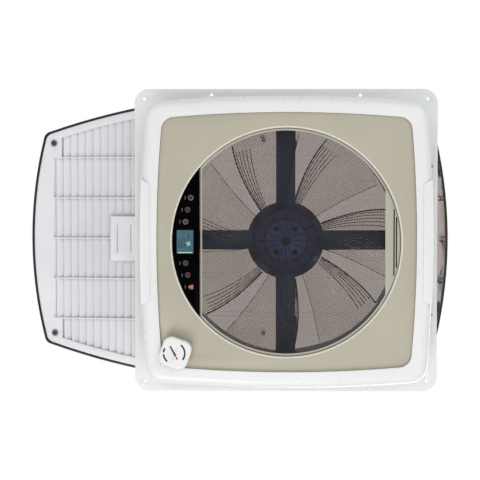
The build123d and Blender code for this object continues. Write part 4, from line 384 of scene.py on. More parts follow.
# Small black mouldings: glass-filled nylon.
NYLON_BLACK = Finish(
    "nylon_glass_filled_moulded", "#17171A", "#212124", 0.52, SPARK_GRAIN, 0.5, 0.02, 14.0)
# Net: woven polyester, grey-brown, catching a little light on each thread.
POLYESTER_NET = Finish(
    "polyester_net_woven", "#34302E", "#2D2A28", 0.6, SPARK_GRAIN, 0.5, 0.01, 60.0)
# Floor: painted plaster. Pale, matt and almost even.
PLASTER_PAINTED = Finish(
    "plaster_painted_pale", "#EDEDEC", "#E9E9E8", 0.7, SPARK_GRAIN, 3.0, 0.05, 900.0)


def mesh_object(name: str, shape: Shape) -> Piece:
    """Links a new object that holds a finished shape.

    Args:
        name: The piece's name.
        shape: The shape, in metres at its final place. It is freed.

    Returns:
        The object, at the origin.
    """
    mesh = bpy.data.meshes.new(name)
    shape.to_mesh(mesh)
    shape.free()
    made = bpy.data.objects.new(name, mesh)
    bpy.context.scene.collection.objects.link(made)
    return made


def settle(piece: Piece) -> Piece:
    """Makes a piece's modifiers its plain mesh.

    Args:
        piece: An object with live modifiers.

    Returns:
        The same object, with no modifiers.
    """
    graph = bpy.context.evaluated_depsgraph_get()
    mesh = bpy.data.meshes.new_from_object(piece.evaluated_get(graph), preserve_all_data_layers=True,
                                           depsgraph=graph)
    piece.modifiers.clear()
    old, piece.data = piece.data, mesh
    bpy.data.meshes.remove(old)
    mesh.name = piece.name
    return piece


def dress(piece: Piece, finish: Finish, body: str,
          stands_for: Sequence[str] = ()) -> Piece:
    """Gives a finished piece its material, its body and the CAD nodes that it stands for.

    Args:
        piece: The piece, with a plain mesh.
        finish: Its finish.
        body: The body that it moves with.
        stands_for: CAD nodes that it replaces.

    Returns:
        The piece.
    """
    piece.data.materials.clear()
    piece.data.materials.append(finish.build())
    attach(piece, body)
    for node in stands_for:
        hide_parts(node)
    LOG.info("%s: %d faces, %s", piece.name, len(piece.data.polygons), finish.name)
    return piece


@dataclass
class Moulding:
    """A CAD node remade with the fine rounded edges that a mould leaves."""

    node: str
    finish: Finish
    slot: str
    body: str
    edge: float = 0.5
    fold: float = 34.0
    steps: int = 2
    # points closer than this become one, and so do faces that meet flatter than this
    weld: float = 0.002
    flat_angle: float = 0.4

    def build(self, nodes: Nodes) -> Piece:
        """Copies the node's mesh, merges it, rounds its edges and puts it in the node's place.

        Args:
            nodes: The frame's CAD objects by name.

        Returns:
            The moulded piece.
        """
        shape = bmesh.new()
        shape.from_mesh(nodes[self.node].data)
        bmesh.ops.remove_doubles(shape, verts=shape.verts, dist=self.weld * MM)
        bmesh.ops.dissolve_limit(shape, angle_limit=radians(self.flat_angle), verts=shape.verts,
                                 edges=shape.edges)
        for face in shape.faces:
            face.smooth = True
        piece = mesh_object(f"{self.node}_moulded", shape)
        rounding = piece.modifiers.new("edge_round", "BEVEL")
        rounding.width = self.edge * MM
        rounding.segments = self.steps
        rounding.limit_method = "ANGLE"
        rounding.angle_limit = radians(self.fold)
        rounding.harden_normals = True
        settle(piece)
        return dress(piece, self.finish, self.body, (self.node,))


@dataclass
class NodeMaker:
    """A Geometry Nodes tree that turns a piece's points or lines into one finished mesh."""

    name: str
    inputs: tuple[tuple[str, str], ...]

    def shape(self, tree: Tree, given: Outputs) -> Socket:
        """Builds the tree's own nodes from its inputs and returns their geometry."""
        raise NotImplementedError

    def tree(self) -> Tree:
        """Builds the tree once and then finds it by its name.

        Returns:
            The tree, which takes the named inputs and the finish.
        """
        found = bpy.data.node_groups.get(self.name)
        if found:
            return found
        tree = bpy.data.node_groups.new(self.name, "GeometryNodeTree")
        for label, kind in (*self.inputs, ("Finish", "Material")):
            tree.interface.new_socket(name=label, in_out="INPUT", socket_type=f"NodeSocket{kind}")
        tree.interface.new_socket(name="Pieces", in_out="OUTPUT", socket_type="NodeSocketGeometry")
        given = add(tree, "NodeGroupInput").outputs
        real = add(tree, "GeometryNodeRealizeInstances", {"Geometry": self.shape(tree, given)})
        made = add(tree, "GeometryNodeSetMaterial", {"Geometry": real.outputs["Geometry"],
                                                     "Material": given["Finish"]})
        add(tree, "NodeGroupOutput", {"Pieces": made.outputs["Geometry"]})
        return tree

    def run(self, piece: Piece, values: dict[str, Any], finish: Finish) -> None:
        """Runs the tree on a piece and keeps what it makes as the piece's plain mesh.

        Args:
            piece: The piece with the points or lines.
            values: Input values by name.
            finish: The finish of what is made.
        """
        modifier = piece.modifiers.new(self.name, "NODES")
        modifier.node_group = self.tree()
        given = {**values, "Finish": finish.build()}
        for item in modifier.node_group.interface.items_tree:
            if item.in_out == "INPUT" and item.name in given:
                modifier[item.identifier] = given[item.name]
        settle(piece)


@dataclass
class Placing:
    """One copy's place in millimetres, its turn in radians and how far it is stretched."""

    place: Point
    turn: Point = (0.0, 0.0, 0.0)
    size: Point = (1.0, 1.0, 1.0)


@dataclass
class PlacedCopies(NodeMaker):
    """Puts a copy of one shape on each point, turned and stretched as the point says."""

    name: str = "placed_copies"
    inputs: tuple[tuple[str, str], ...] = (("Points", "Geometry"), ("Copy", "Object"))

    def shape(self, tree: Tree, given: Outputs) -> Socket:
        """Builds the nodes that place the copies.

        Args:
            tree: The tree.
            given: Its inputs by name.

        Returns:
            The copies.
        """
        copy = add(tree, "GeometryNodeObjectInfo", {"Object": given["Copy"]})
        turn, size = (add(tree, "GeometryNodeInputNamedAttribute", {"Name": label}, data_type="FLOAT_VECTOR")
                      for label in ("turn", "size"))
        return add(tree, "GeometryNodeInstanceOnPoints", {
            "Points": given["Points"], "Instance": copy.outputs["Geometry"],
            "Rotation": turn.outputs["Attribute"], "Scale": size.outputs["Attribute"]}).outputs["Instances"]

    def place(self, name: str, unit: Shape, placings: Sequence[Placing], finish: Finish, body: str, slot: str,
              stands_for: Sequence[str] = ()) -> None:
        """Makes one plain piece of all the copies.

        Args:
            name: The name of the piece.
            unit: The shape to copy, in metres about the origin.
            placings: Where the copies go.
            finish: Their finish.
            body: The body that the piece moves with.
            slot: Not used; the record's material slot.
            stands_for: CAD nodes that it replaces.
        """
        source = mesh_object(f"{name}_unit", unit)
        points = bmesh.new()
        for placing in placings:
            points.verts.new([c * MM for c in placing.place])
        piece = mesh_object(name, points)
        for label in ("turn", "size"):
            attribute = piece.data.attributes.new(label, "FLOAT_VECTOR", "POINT")
            for item, placing in zip(attribute.data, placings):
                item.vector = getattr(placing, label)
        self.run(piece, {"Copy": source}, finish)
        bpy.data.objects.remove(source)
        dress(piece, finish, body, stands_for)


@dataclass
class SweptBead(NodeMaker):
    """Runs a round bead along lines."""

    name: str = "swept_bead"
    inputs: tuple[tuple[str, str], ...] = (("Lines", "Geometry"), ("Bead radius", "Float"), ("Sides", "Int"))
    sides: int = 6

    def shape(self, tree: Tree, given: Outputs) -> Socket:
        """Builds the nodes that sweep the bead.

        Args:
            tree: The tree.
            given: Its inputs by name.

        Returns:
            The beads.
        """
        line = add(tree, "GeometryNodeMeshToCurve", {"Mesh": given["Lines"]})
        ring = add(tree, "GeometryNodeCurvePrimitiveCircle", {"Resolution": given["Sides"],
                                                              "Radius": given["Bead radius"]})
        tube = add(tree, "GeometryNodeCurveToMesh", {"Curve": line.outputs["Curve"],
                                                     "Profile Curve": ring.outputs["Curve"],
                                                     "Fill Caps": True})
        return add(tree, "GeometryNodeSetShadeSmooth", {"Geometry": tube.outputs["Mesh"]}).outputs["Geometry"]

    def along(self, name: str, lines: Iterable[Sequence[Vector]], radius: float, finish: Finish) -> None:
        """Makes one plain piece of the fan with a bead along each line.

        Args:
            name: The name of the piece.
            lines: The points of each line, in metres.
            radius: The bead's radius in millimetres.
            finish: The finish of every bead.
        """
        shape = bmesh.new()
        for line in lines:
            corners = [shape.verts.new(point) for point in line]
            for start, end in zip(corners, corners[1:]):
                shape.edges.new((start, end))
        piece = mesh_object(name, shape)
        self.run(piece, {"Bead radius": radius * MM, "Sides": self.sides}, finish)
        dress(piece, finish, "rotor")


def bar(size: Point) -> Shape:
    """Makes a bar about the origin, in metres, from its three lengths in millimetres."""
    shape = bmesh.new()
    bmesh.ops.create_cube(shape, size=1.0)
    bmesh.ops.scale(shape, vec=[s * MM for s in size], verts=shape.verts)
    return shape


def loft(rings: Sequence[Sequence[Point]], whole: bool = False) -> Shape:
    """Joins rings of as many points each into a solid.

    Args:
        rings: The rings' points, in millimetres.
        whole: Whether the last ring meets the first. Otherwise both are filled.

    Returns:
        The shape in metres, its faces pointing outwards.
    """
    shape = bmesh.new()
    rows = [[shape.verts.new([c * MM for c in point]) for point in ring] for ring in rings]
    for here, there in zip(rows, rows[1:] + rows[:1] if whole else rows[1:]):
        for k in range(len(here)):
            n = (k + 1) % len(here)
            shape.faces.new((here[k], there[k], there[n], here[n]))
    if not whole:
        shape.faces.new(rows[0])
        shape.faces.new(rows[-1][::-1])
    bmesh.ops.recalc_face_normals(shape, faces=shape.faces)
    return shape


def lathe(outline: Sequence[Flat], centre: Point, steps: int, arc: Flat = WHOLE_TURN) -> Shape:
    """Turns a closed outline about a vertical axis.

    Args:
        outline: Radius and height of each point, in millimetres.
        centre: The axis and the height that the outline is measured from.
        steps: Faces round the turn.
        arc: Start and end angle in degrees.

    Returns:
        The shape in metres.
    """
    whole = arc == WHOLE_TURN
    turns = [radians(arc[0] + (arc[1] - arc[0]) * i / steps) for i in range(steps if whole else steps + 1)]
    return loft([[(centre[0] + r * cos(turn), centre[1] + r * sin(turn), centre[2] + z) for r, z in outline]
                 for turn in turns], whole)


def joined(shapes: Iterable[Shape]) -> Shape:
    """Joins shapes into one.

    Args:
        shapes: The shapes. They are freed.

    Returns:
        One shape.
    """
    whole = bmesh.new()
    for shape in shapes:
        mesh = bpy.data.meshes.new("part")
        shape.to_mesh(mesh)
        shape.free()
        whole.from_mesh(mesh)
        bpy.data.meshes.remove(mesh)
    return whole


@dataclass
class Print:
    """Ink on a face that looks down, laid as thin solids."""

    face: float

    def outline(self, corners: Sequence[Flat]) -> Shape:
        """Prints a filled outline with corners in millimetres."""
        return loft([[(x, y, level) for x, y in corners] for level in (self.face - INK, self.face)])

    def block(self, x: float, y: float, wide: float, long: float) -> Shape:
        """Prints a block about a place."""
        ways = ((-1, -1), (1, -1), (1, 1), (-1, 1))
        return self.outline([(x + wide * across / 2, y + long * up / 2) for across, up in ways])

    def ring(self, place: Flat, radii: Flat, steps: int, arc: Flat = WHOLE_TURN) -> Shape:
        """Prints a ring between two radii, or an arc of it."""
        inner, outer = radii
        section = ((inner, 0.0), (outer, 0.0), (outer, INK), (inner, INK))
        return lathe(section, (*place, self.face - INK), steps, arc)


def faces_of(cad: Piece) -> BVHTree:
    """Gathers the faces of a CAD object, to be met by rays."""
    return BVHTree.FromPolygons([v.co for v in cad.data.vertices],
                                [tuple(p.vertices) for p in cad.data.polygons])


def underside(faces: BVHTree, spot: Vector) -> Optional[Vector]:
    """Finds the first point of the faces that is seen from straight below a spot."""
    return faces.ray_cast(Vector((spot.x, spot.y, RAY_START * MM)), Vector((0, 0, 1)))[0]


@dataclass
class Unit:
    """A sub-assembly of the vent, made from the frame's CAD objects by name."""

    nodes: Nodes

    def build(self) -> None:
        """Makes the sub-assembly's pieces and dresses its CAD objects."""
        raise NotImplementedError

    def mould(self, node: str, finish: Finish, slot: str, body: str, edge: float, **more: Any) -> Piece:
        """Makes the moulded piece of one CAD node."""
        return Moulding(node, finish, slot, body, edge, **more).build(self.nodes)

    def use(self, finishes: dict[Finish, str]) -> None:
        """Puts finishes in the slots of CAD objects, whose meshes stay as they are.

        Args:
            finishes: For each finish the names of its nodes, with a space between.
        """
        for finish, names in finishes.items():
            for name in names.split():
                for slot in self.nodes[name].material_slots:
                    slot.material = finish.build()


@dataclass
class Ceiling(Unit):
    """White frame under the ceiling, beige bezel in it, and a cream band of painted highlight on the bevel of
    the bezel's aperture.
    """

    bezel_face: float = -61.0
    # the cream band of painted highlight round the aperture: its radii, the bevel's height, its thickness on
    # it, how far it stands proud of the bezel, and the widths of its outer face and of its foot
    inner: float = 155.1
    outer: float = 157.1
    bevel: float = 1.2
    skin: float = 0.3
    proud: float = 0.12
    face: float = 0.6
    foot: float = 0.5
    steps: int = 240

    def build(self) -> None:
        """Makes the frame, the bezel and the cream line of painted highlight round the bezel's aperture."""
        self.mould("ceiling_frame", ABS_WHITE_SATIN, "frame_white", "base", edge=0.7)
        self.mould("bezel_panel", ABS_BEIGE_GRAINED, "bezel_beige", "base", edge=0.35)
        outline = ((self.inner, self.bevel), (self.inner, self.bevel - self.skin),
                   (self.outer - self.face, -self.proud), (self.outer, -self.proud), (self.outer, 0.0),
                   (self.outer - self.foot, self.skin), (self.inner + self.skin, self.bevel))
        edge = lathe(outline, (0, 0, self.bezel_face), self.steps)
        dress(mesh_object("aperture_edge", edge), ABS_CREAM_PAINTED_HIGHLIGHT, "base")


@dataclass(frozen=True)
class Mark:
    """A key's mark, measured from the key's middle."""

    # start and end of each arc of its ring
    arcs: tuple[Flat, ...] = ()
    # place across, width and length of each block
    blocks: tuple[Point, ...] = ()
    outlines: tuple[tuple[Flat, ...], ...] = ()


class Symbol(Enum):
    """Generic marks that the keys carry."""

    RING = Mark((WHOLE_TURN,))
    DASH = Mark((WHOLE_TURN,), ((0.0, 2.6, 0.8),))
    BARS = Mark((WHOLE_TURN,), ((-0.8, 0.7, 3.2), (0.8, 0.7, 3.2)))
    ARROWS = Mark(((25.0, 155.0), (205.0, 335.0)), ((0.0, 0.8, 4.2),),
                  (((2.2, -1.2), (3.9, 0.0), (2.2, 1.2)), ((-2.2, 1.2), (-3.9, 0.0), (-2.2, -1.2))))
    TRIANGLE = Mark(outlines=(
        ((-3.4, -0.6), (2.4, -3.0), (3.0, -3.0), (3.0, 3.0), (2.4, 3.0), (-3.4, 0.6)),))


@dataclass
class ControlPanel(Unit):
    """Black fascia with its display, six keys and the marks printed on them."""

    fascia_face: float = -60.5
    key_face: float = -61.1
    ring_radii: Flat = (2.7, 3.55)
    ring_steps: int = 40
    arc_steps: int = 20
    tick: Flat = (0.9, 4.6)
    tick_shift: float = -7.6
    keys: tuple[tuple[str, float, float, Symbol, Finish], ...] = (
        ("key_power", -129.40, -60.4, Symbol.RING, INK_ROSE),
        ("key_auto", -133.68, -44.2, Symbol.DASH, INK_RUST),
        ("key_slower", -136.58, -28.0, Symbol.DASH, INK_ROSE),
        ("key_faster", -136.58, 28.0, Symbol.BARS, INK_RUST),
        ("key_timer", -133.68, 44.2, Symbol.ARROWS, INK_RUST),
        ("key_direction", -129.40, 60.4, Symbol.TRIANGLE, INK_ORANGE))

    def build(self) -> None:
        """Makes the fascia, the keys with their marks and ticks, and the display."""
        self.mould("control_fascia", POLYCARBONATE_BLACK, "fascia_black", "base", edge=0.25)
        for node, x, y, symbol, ink in self.keys:
            self.mould(node, CAP_BLACK, "fascia_black", node, edge=0.35, steps=3)
            mark = mesh_object(f"{node}_mark", joined(self.mark(x, y, symbol.value)))
            dress(mark, ink, node)
        ticks = [Placing((x + self.tick_shift, y, self.fascia_face - INK / 2)) for _, x, y, _, _ in self.keys]
        PlacedCopies().place("fascia_ticks", bar((*self.tick, INK)), ticks, INK_GREY, "base", "fascia_black")
        Display(self.nodes).build()

    def mark(self, x: float, y: float, mark: Mark) -> list[Shape]:
        """Prints one key's mark.

        Args:
            x: The key's place across.
            y: The key's place along.
            mark: What the mark is made of.

        Returns:
            The shapes that make it up.
        """
        ink = Print(self.key_face)
        shapes = []
        for arc in mark.arcs:
            steps = self.ring_steps if arc == WHOLE_TURN else self.arc_steps
            shapes.append(ink.ring((x, y), self.ring_radii, steps, arc))
        shapes += [ink.block(x + across, y, wide, long) for across, wide, long in mark.blocks]
        return shapes + [ink.outline([(x + dx, y + dy) for dx, dy in outline]) for outline in mark.outlines]


# Segments of a figure: place across and up, and whether it lies flat.
SEGMENTS = {"a": (0, 2, True), "b": (1, 1, False), "c": (1, -1, False), "d": (0, -2, True),
            "e": (-1, -1, False), "f": (-1, 1, False), "g": (0, 0, True)}


@dataclass
class Display(Unit):
    """Generic figures, level bars and a fan sign on the display."""

    centre: Flat = (-137.3, -0.8)
    face: float = -60.0
    # the segments that are dark in each figure
    figures: tuple[str, ...] = ("abged", "abcdefg")
    figure_place: Flat = (-4.6, -1.6)
    figure_step: float = 6.6
    segment: Flat = (4.0, 0.75)
    segment_reach: float = 2.1
    level_place: Flat = (4.4, -10.5)
    level_step: float = 1.8
    level_lengths: tuple[float, ...] = (0.45, 0.65, 0.85, 1.05)
    sign_bar: Flat = (4.0, 0.9)
    sign_place: Flat = (4.6, 2.6)
    sign_radius: float = 1.9
    sign_angles: tuple[float, ...] = tuple(0.4 + pi / 2 * k for k in range(4))
    sign_twist: float = 0.5
    blade_size: Point = (0.7, 1.7, 1.0)
    foot_place: Flat = (0.0, 14.6)
    foot_size: Point = (5.0, 1.6, 1.0)

    def build(self) -> None:
        """Dresses the display and lays its figures and signs on it."""
        self.use({LIQUID_CRYSTAL: "lcd_display"})
        dark = []
        for index, figure in enumerate(self.figures):
            for across, up, flat in (SEGMENTS[part] for part in figure):
                dark.append(self.placing(self.figure_place, -up * self.segment_reach,
                                         index * self.figure_step + across * self.segment_reach,
                                         pi / 2 if flat else 0.0))
        dark += [self.placing(self.level_place, 0.0, index * self.level_step, 0.0, (length, 1.0, 1.0))
                 for index, length in enumerate(self.level_lengths)]
        light = [self.placing(self.sign_place, self.sign_radius * cos(angle), self.sign_radius * sin(angle),
                              angle + self.sign_twist, self.blade_size) for angle in self.sign_angles]
        light.append(self.placing(self.foot_place, 0.0, 0.0, 0.0, self.foot_size))
        for name, size, placings, finish in (("display_figures", self.segment, dark, CRYSTAL_DARK),
                                             ("display_signs", self.sign_bar, light, CRYSTAL_LIGHT)):
            PlacedCopies().place(name, bar((*size, INK)), placings, finish, "base", "display_teal")

    def placing(self, start: Flat, dx: float, dy: float, turn: float,
                size: Point = (1.0, 1.0, 1.0)) -> Placing:
        """Places a bar on the display.

        Args:
            start: The group's place from the display's middle.
            dx: The bar's place across from there.
            dy: The bar's place along from there.
            turn: Its turn in radians.
            size: Its stretch.

        Returns:
            The placing.
        """
        return Placing((self.centre[0] + start[0] + dx, self.centre[1] + start[1] + dy, self.face - INK / 2),
                       (0.0, 0.0, turn), size)


@dataclass
class InsectScreen(Unit):
    """Screen frame with its handle bar, the woven net in it and black strips behind its slits, a painted
    shadow.
    """

    thread: float = 0.4
    # a thread's height as a share of its width
    flatness: float = 0.6
    # the real net has 1.4 mm holes, too fine for the picture, so it is drawn at this pitch
    pitch: float = 2.6
    lay: float = 45.0
    # middle and half length of the two pull slits
    slits: tuple[Flat, ...] = ((145.4, 45.3), (148.6, 34.8))
    # painted shadow: width and thickness of the black strip behind each slit
    slit_shadow_width: float = 2.9
    slit_shadow_thickness: float = 0.3

    def build(self) -> None:
        """Makes the frame, the net and the painted shadow behind the slits."""
        self.mould("screen_frame", ABS_BEIGE_SCREEN, "bezel_beige", "screen", edge=0.3)
        self.net()
        self.slit_shadow()

    def net(self) -> None:
        """Lays two layers of threads across each other, cut off where the CAD net ends."""
        low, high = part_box("insect_mesh")
        left, right = low.x / MM, high.x / MM
        radius = (high.y - low.y) / 2 / MM
        level = (low.z + high.z) / 2 / MM
        height = self.thread * self.flatness
        threads = []
        for way in (1, -1):
            turn = radians(way * self.lay)
            along = Vector((cos(turn), sin(turn)))
            across = Vector((-along.y, along.x))
            for index in range(floor(-radius / self.pitch) + 1, ceil(radius / self.pitch)):
                offset = index * self.pitch
                reach = sqrt(max(radius ** 2 - offset ** 2, 0.0))
                foot = across * offset
                ends = sorted(((left - foot.x) / along.x, (right - foot.x) / along.x))
                start, end = max(-reach, ends[0]), min(reach, ends[1])
                if end - start > self.pitch:
                    middle = foot + along * (start + end) / 2
                    threads.append(Placing((middle.x, middle.y, level - way * height / 2), (0.0, 0.0, turn),
                                           (end - start, 1.0, 1.0)))
        PlacedCopies().place("insect_net_threads", bar((1.0, self.thread, height)), threads, POLYESTER_NET,
                             "screen", "mesh_grey", ("insect_mesh",))

    def slit_shadow(self) -> None:
        """Lays a black strip on the frame behind each pull slit, a painted shadow that makes the slit look
        dark.
        """
        _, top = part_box("screen_frame")
        level = top.z + self.slit_shadow_thickness / 2 * MM
        strips = []
        for middle, half in self.slits:
            strip = bar((self.slit_shadow_width, 2 * half, self.slit_shadow_thickness))
            bmesh.ops.translate(strip, vec=(middle * MM, 0, level), verts=strip.verts)
            strips.append(strip)
        dress(mesh_object("screen_slit_backing", joined(strips)), NYLON_BLACK, "screen")


@dataclass
class BladeRidges:
    """Thick edges of the fan's blades, and the fine flow ridges that sweep behind each leading edge."""

    fan_radius: float = 152.0
    margin: float = 1.0
    blades: int = 7
    first_angle: float = -134.0
    middle_angle: float = 29.0
    steps: int = 26
    # the blade's sections, as shares of the fan's radius, and the angles of its edges there
    reach_shares: tuple[float, ...] = (0.25, 0.52, 0.79, 1.03)
    leading_angles: tuple[float, ...] = (-29.0, -24.0, -19.0, -14.0)
    trailing_angles: tuple[float, ...] = (15.0, 19.0, 23.0, 26.0)
    # each piece's name, places as shares of the blade's width, bead radius, finish and span of the radius
    beads: tuple[tuple[str, tuple[float, ...], float, Finish, Flat], ...] = (
        ("blade_leading_edges", (0.008,), 0.95, SAN_SMOKE_EDGE, (0.32, 0.985)),
        ("blade_trailing_edges", (0.992,), 0.4, SAN_SMOKE_RIDGE, (0.34, 0.955)),
        ("blade_flow_ridges", (0.045, 0.09, 0.14, 0.195, 0.255), 0.5, SAN_SMOKE_RIDGE, (0.33, 0.9)))

    def build(self, faces: BVHTree) -> None:
        """Lays the edges and ridges on the blades' lower faces.

        Args:
            faces: The fan's faces.
        """
        for name, places, radius, finish, span in self.beads:
            lines = [self.line(faces, blade, place, span) for blade in range(self.blades) for place in places]
            SweptBead().along(name, [line for line in lines if len(line) > 2], radius, finish)

    def line(self, faces: BVHTree, blade: int, place: float, span: Flat) -> list[Vector]:
        """Follows one line along a blade, a share of its width behind the leading edge.

        Args:
            faces: The fan's faces.
            blade: The blade's number.
            place: Share of the blade's width behind its leading edge.
            span: Shares of the fan's radius where the line starts and ends.

        Returns:
            Points on the blade's lower face, in metres.
        """
        middle = radians(self.first_angle + blade * 360 / self.blades + self.middle_angle)
        outwards = Vector((cos(middle), sin(middle), 0))
        across = Vector((-sin(middle), cos(middle), 0))
        points = []
        for index in range(self.steps + 1):
            share = span[0] + (span[1] - span[0]) * index / self.steps
            front, back = (sin(radians(self.between(share, angles)))
                           for angles in (self.leading_angles, self.trailing_angles))
            reach = share * self.fan_radius * MM
            # the section stands across the middle line, so an outer point lies on a wider circle
            spot = outwards * reach + across * (reach * (front + (back - front) * place))
            if spot.length > (self.fan_radius - self.margin) * MM:
                break
            hit = underside(faces, spot)
            if hit:
                points.append(hit)
        return points

    def between(self, share: float, angles: Sequence[float]) -> float:
        """Reads an angle between the blade's sections.

        Args:
            share: Share of the fan's radius.
            angles: The angle at each section.

        Returns:
            The angle there.
        """
        sections = list(zip(self.reach_shares, angles))
        for (low, first), (high, second) in zip(sections, sections[1:]):
            if share <= high:
                return first + (second - first) * ((share - low) / (high - low))
        return angles[-1]


@dataclass
class FanUnit(Unit):
    """Shroud with its carrier, the fan, the motor and its lead."""

    hub_radius: float = 44.4
    rib_level: float = -10.5
    # ribs on the hub's inner web: their ends, their angles in each quarter and their radius
    web_reach: Flat = (10.5, 30.0)
    web_angles: tuple[float, ...] = (0.0, 22.5, 67.5)
    web_rib: float = 0.45

    def build(self) -> None:
        """Makes the shroud, the carrier and the fan and dresses the motor."""
        for node in ("fan_shroud", "motor_carrier"):
            self.mould(node, ABS_NAVY, "shroud_navy", "base", edge=0.6)
        fan = self.mould("fan_rotor", SAN_SMOKE, "fan_smoke", "rotor", edge=0.3, fold=40.0)
        fan.data.materials.append(SAN_SMOKE_HUB.build())
        fan.data.materials.append(SAN_SMOKE_RING.build())
        for face in fan.data.polygons:
            middle = face.center
            if Vector((middle.x, middle.y)).length < self.hub_radius * MM:
                face.material_index = 2 if middle.z < self.rib_level * MM else 1
        faces = faces_of(self.nodes["fan_rotor"])
        BladeRidges().build(faces)
        SweptBead().along("hub_web_ribs", self.web_ribs(faces), self.web_rib, SAN_SMOKE_RING)
        self.use({ENAMEL_BLACK: "motor_can motor_end_cap", BRONZE_SINTERED: "motor_bushes",
                  LAMINATIONS_VARNISHED: "motor_armature motor_magnets",
                  STEEL_BLACK_OXIDE: "motor_screws motor_shaft rotor_nut", STEEL_ZINC: "shroud_screws",
                  PVC_LEAD: "motor_lead", NYLON_BLACK: "lead_plug"})

    def web_ribs(self, faces: BVHTree) -> list[list[Vector]]:
        """Finds the lines of the thin ribs on the hub's inner web, clear of its four windows.

        Args:
            faces: The fan's faces.

        Returns:
            The two ends of each rib, in metres.
        """
        lines = []
        for quarter in range(4):
            for angle in self.web_angles:
                way = radians(angle + 90 * quarter)
                ends = [underside(faces, Vector((cos(way), sin(way), 0)) * reach * MM)
                        for reach in self.web_reach]
                if all(ends):
                    lines.append(ends)
        return lines


@dataclass
class LidUnit(Unit):
    """Smoke lid with its white louvred liner, hinges and tracks."""

    hinge_x: float = 196.0
    hinge_z: float = 40.0
    tilt: float = 7.5
    # the rim is what lies below this height while the lid is closed
    rim_top: float = 15.5
    # screw heads: depth of their lowest faces and reach of one head, and the bars of the black cross that
    # stands for the recess's shade
    head_face: float = 0.05
    head_reach: float = 9.0
    recess: Point = (4.6, 1.5, 0.5)

    def build(self) -> None:
        """Makes the lid's mouldings and dresses its fittings."""
        lid = self.mould("lid_shell", ACRYLIC_SMOKE, "lid_smoke", "lid", edge=0.8, fold=38.0)
        # the sheet lets light through to what it covers
        lid.visible_shadow = False
        lid.data.materials.append(ACRYLIC_SMOKE_RIM.build())
        for face in lid.data.polygons:
            if self.closed(face.center).z < self.rim_top:
                face.material_index = 1
        self.mould("lid_liner", ABS_WHITE_LOUVRE, "liner_white", "lid", edge=0.3)
        self.mould("liner_plate", ABS_WHITE_LOUVRE, "liner_white", "lid", edge=0.4)
        self.use({STEEL_PHOSPHATED: "liner_screws", STEEL_ZINC: "hinge_leaves leaf_screws track_screws",
                  ACRYLIC_CLEAR: "track_near track_far"})
        # painted shade: each screw's recess is a black cross laid on its head, standing for the shade inside
        # the recess
        length, width, depth = self.recess
        cross = joined([bar((length, width, depth)), bar((width, length, depth))])
        heads = self.heads(self.nodes["liner_screws"])
        PlacedCopies().place("liner_screw_recesses", cross, heads, ENAMEL_BLACK, "lid", "part_black")

    def closed(self, point: Vector) -> Vector:
        """Turns a point of the open lid to where it is while the lid is closed.

        Args:
            point: The point at rest, in metres.

        Returns:
            The point, in millimetres.
        """
        along, up = point.x / MM - self.hinge_x, point.z / MM - self.hinge_z
        sine, cosine = sin(radians(self.tilt)), cos(radians(self.tilt))
        return Vector((self.hinge_x + along * cosine - up * sine, point.y / MM,
                       self.hinge_z + along * sine + up * cosine))

    def heads(self, cad: Piece) -> list[Placing]:
        """Finds the middle of the lower face of each liner screw's head.

        Args:
            cad: The screws' CAD object.

        Returns:
            A placing on each head, tilted with the lid.
        """
        heads: list[list[Vector]] = []
        places = [(self.closed(vertex.co).z, vertex.co) for vertex in cad.data.vertices]
        lowest = min(height for height, _ in places)
        for height, place in places:
            if height < lowest + self.head_face:
                group = next((g for g in heads if (g[0] - place).length < self.head_reach * MM), None)
                if group is None:
                    heads.append([place.copy()])
                else:
                    group.append(place.copy())
        placings = []
        for group in heads:
            low = Vector([min(point[axis] for point in group) for axis in range(3)])
            high = Vector([max(point[axis] for point in group) for axis in range(3)])
            placings.append(Placing(tuple((low + high) / 2 / MM), (0.0, radians(self.tilt), 0.0)))
        return placings


@dataclass
class LiftGear(Unit):
    """Knob with its printed marks, worm, wheel, lift shaft and arms."""

    knob_x: float = -150.0
    knob_y: float = 148.5
    knob_face: float = -80.4
    arc_radii: Flat = (13.15, 15.45)
    arc_shift: float = -1.2
    arc_steps: int = 16
    # the left arc has a break in it
    arcs: tuple[Flat, ...] = ((131.0, 176.0), (186.0, 209.0), (-51.0, 38.0))
    # ends of the pointer, and of its tip past the pointer's end
    pointer: tuple[Flat, Flat] = ((-6.6, -9.7), (0.9, 4.2))
    tip: Flat = (1.2, 4.4)
    pointer_width: float = 2.2

    def build(self) -> None:
        """Makes the knob and its marks and dresses the gear behind it."""
        self.mould("knob", ABS_WHITE_SATIN, "frame_white", "knob", edge=0.4)
        ink = Print(self.knob_face)
        place = (self.knob_x + self.arc_shift, self.knob_y)
        arcs = joined([ink.ring(place, self.arc_radii, self.arc_steps, arc) for arc in self.arcs])
        start, end = (Vector(corner) for corner in self.pointer)
        along = (end - start).normalized()
        tip = self.stroke(ink, *(end + along * reach for reach in self.tip))
        for name, shape, finish in (("knob_arcs", arcs, INK_BLACK),
                                    ("knob_pointer", self.stroke(ink, start, end), INK_BLACK),
                                    ("knob_pointer_tip", tip, INK_RED)):
            dress(mesh_object(name, shape), finish, "knob")
        self.use({STEEL_DRAWN: "knob_shaft lift_shaft roller_pins",
                  STEEL_ZINC: "lift_arm_near lift_arm_far drive_bracket drive_screws",
                  ACETAL_MOULDED: "drive_worm worm_wheel shaft_bushes knob_bushes roller_near "
                                  "roller_far"})

    def stroke(self, ink: Print, start: Vector, end: Vector) -> Shape:
        """Prints a straight stroke.

        Args:
            ink: The print on the knob's face.
            start: Its start, in millimetres from the knob's axis.
            end: Its end.

        Returns:
            The shape.
        """
        along = (end - start).normalized()
        side = Vector((-along.y, along.x)) * self.pointer_width / 2
        return ink.outline([(self.knob_x + c.x, self.knob_y + c.y)
                            for c in (start - side, end - side, end + side, start + side)])


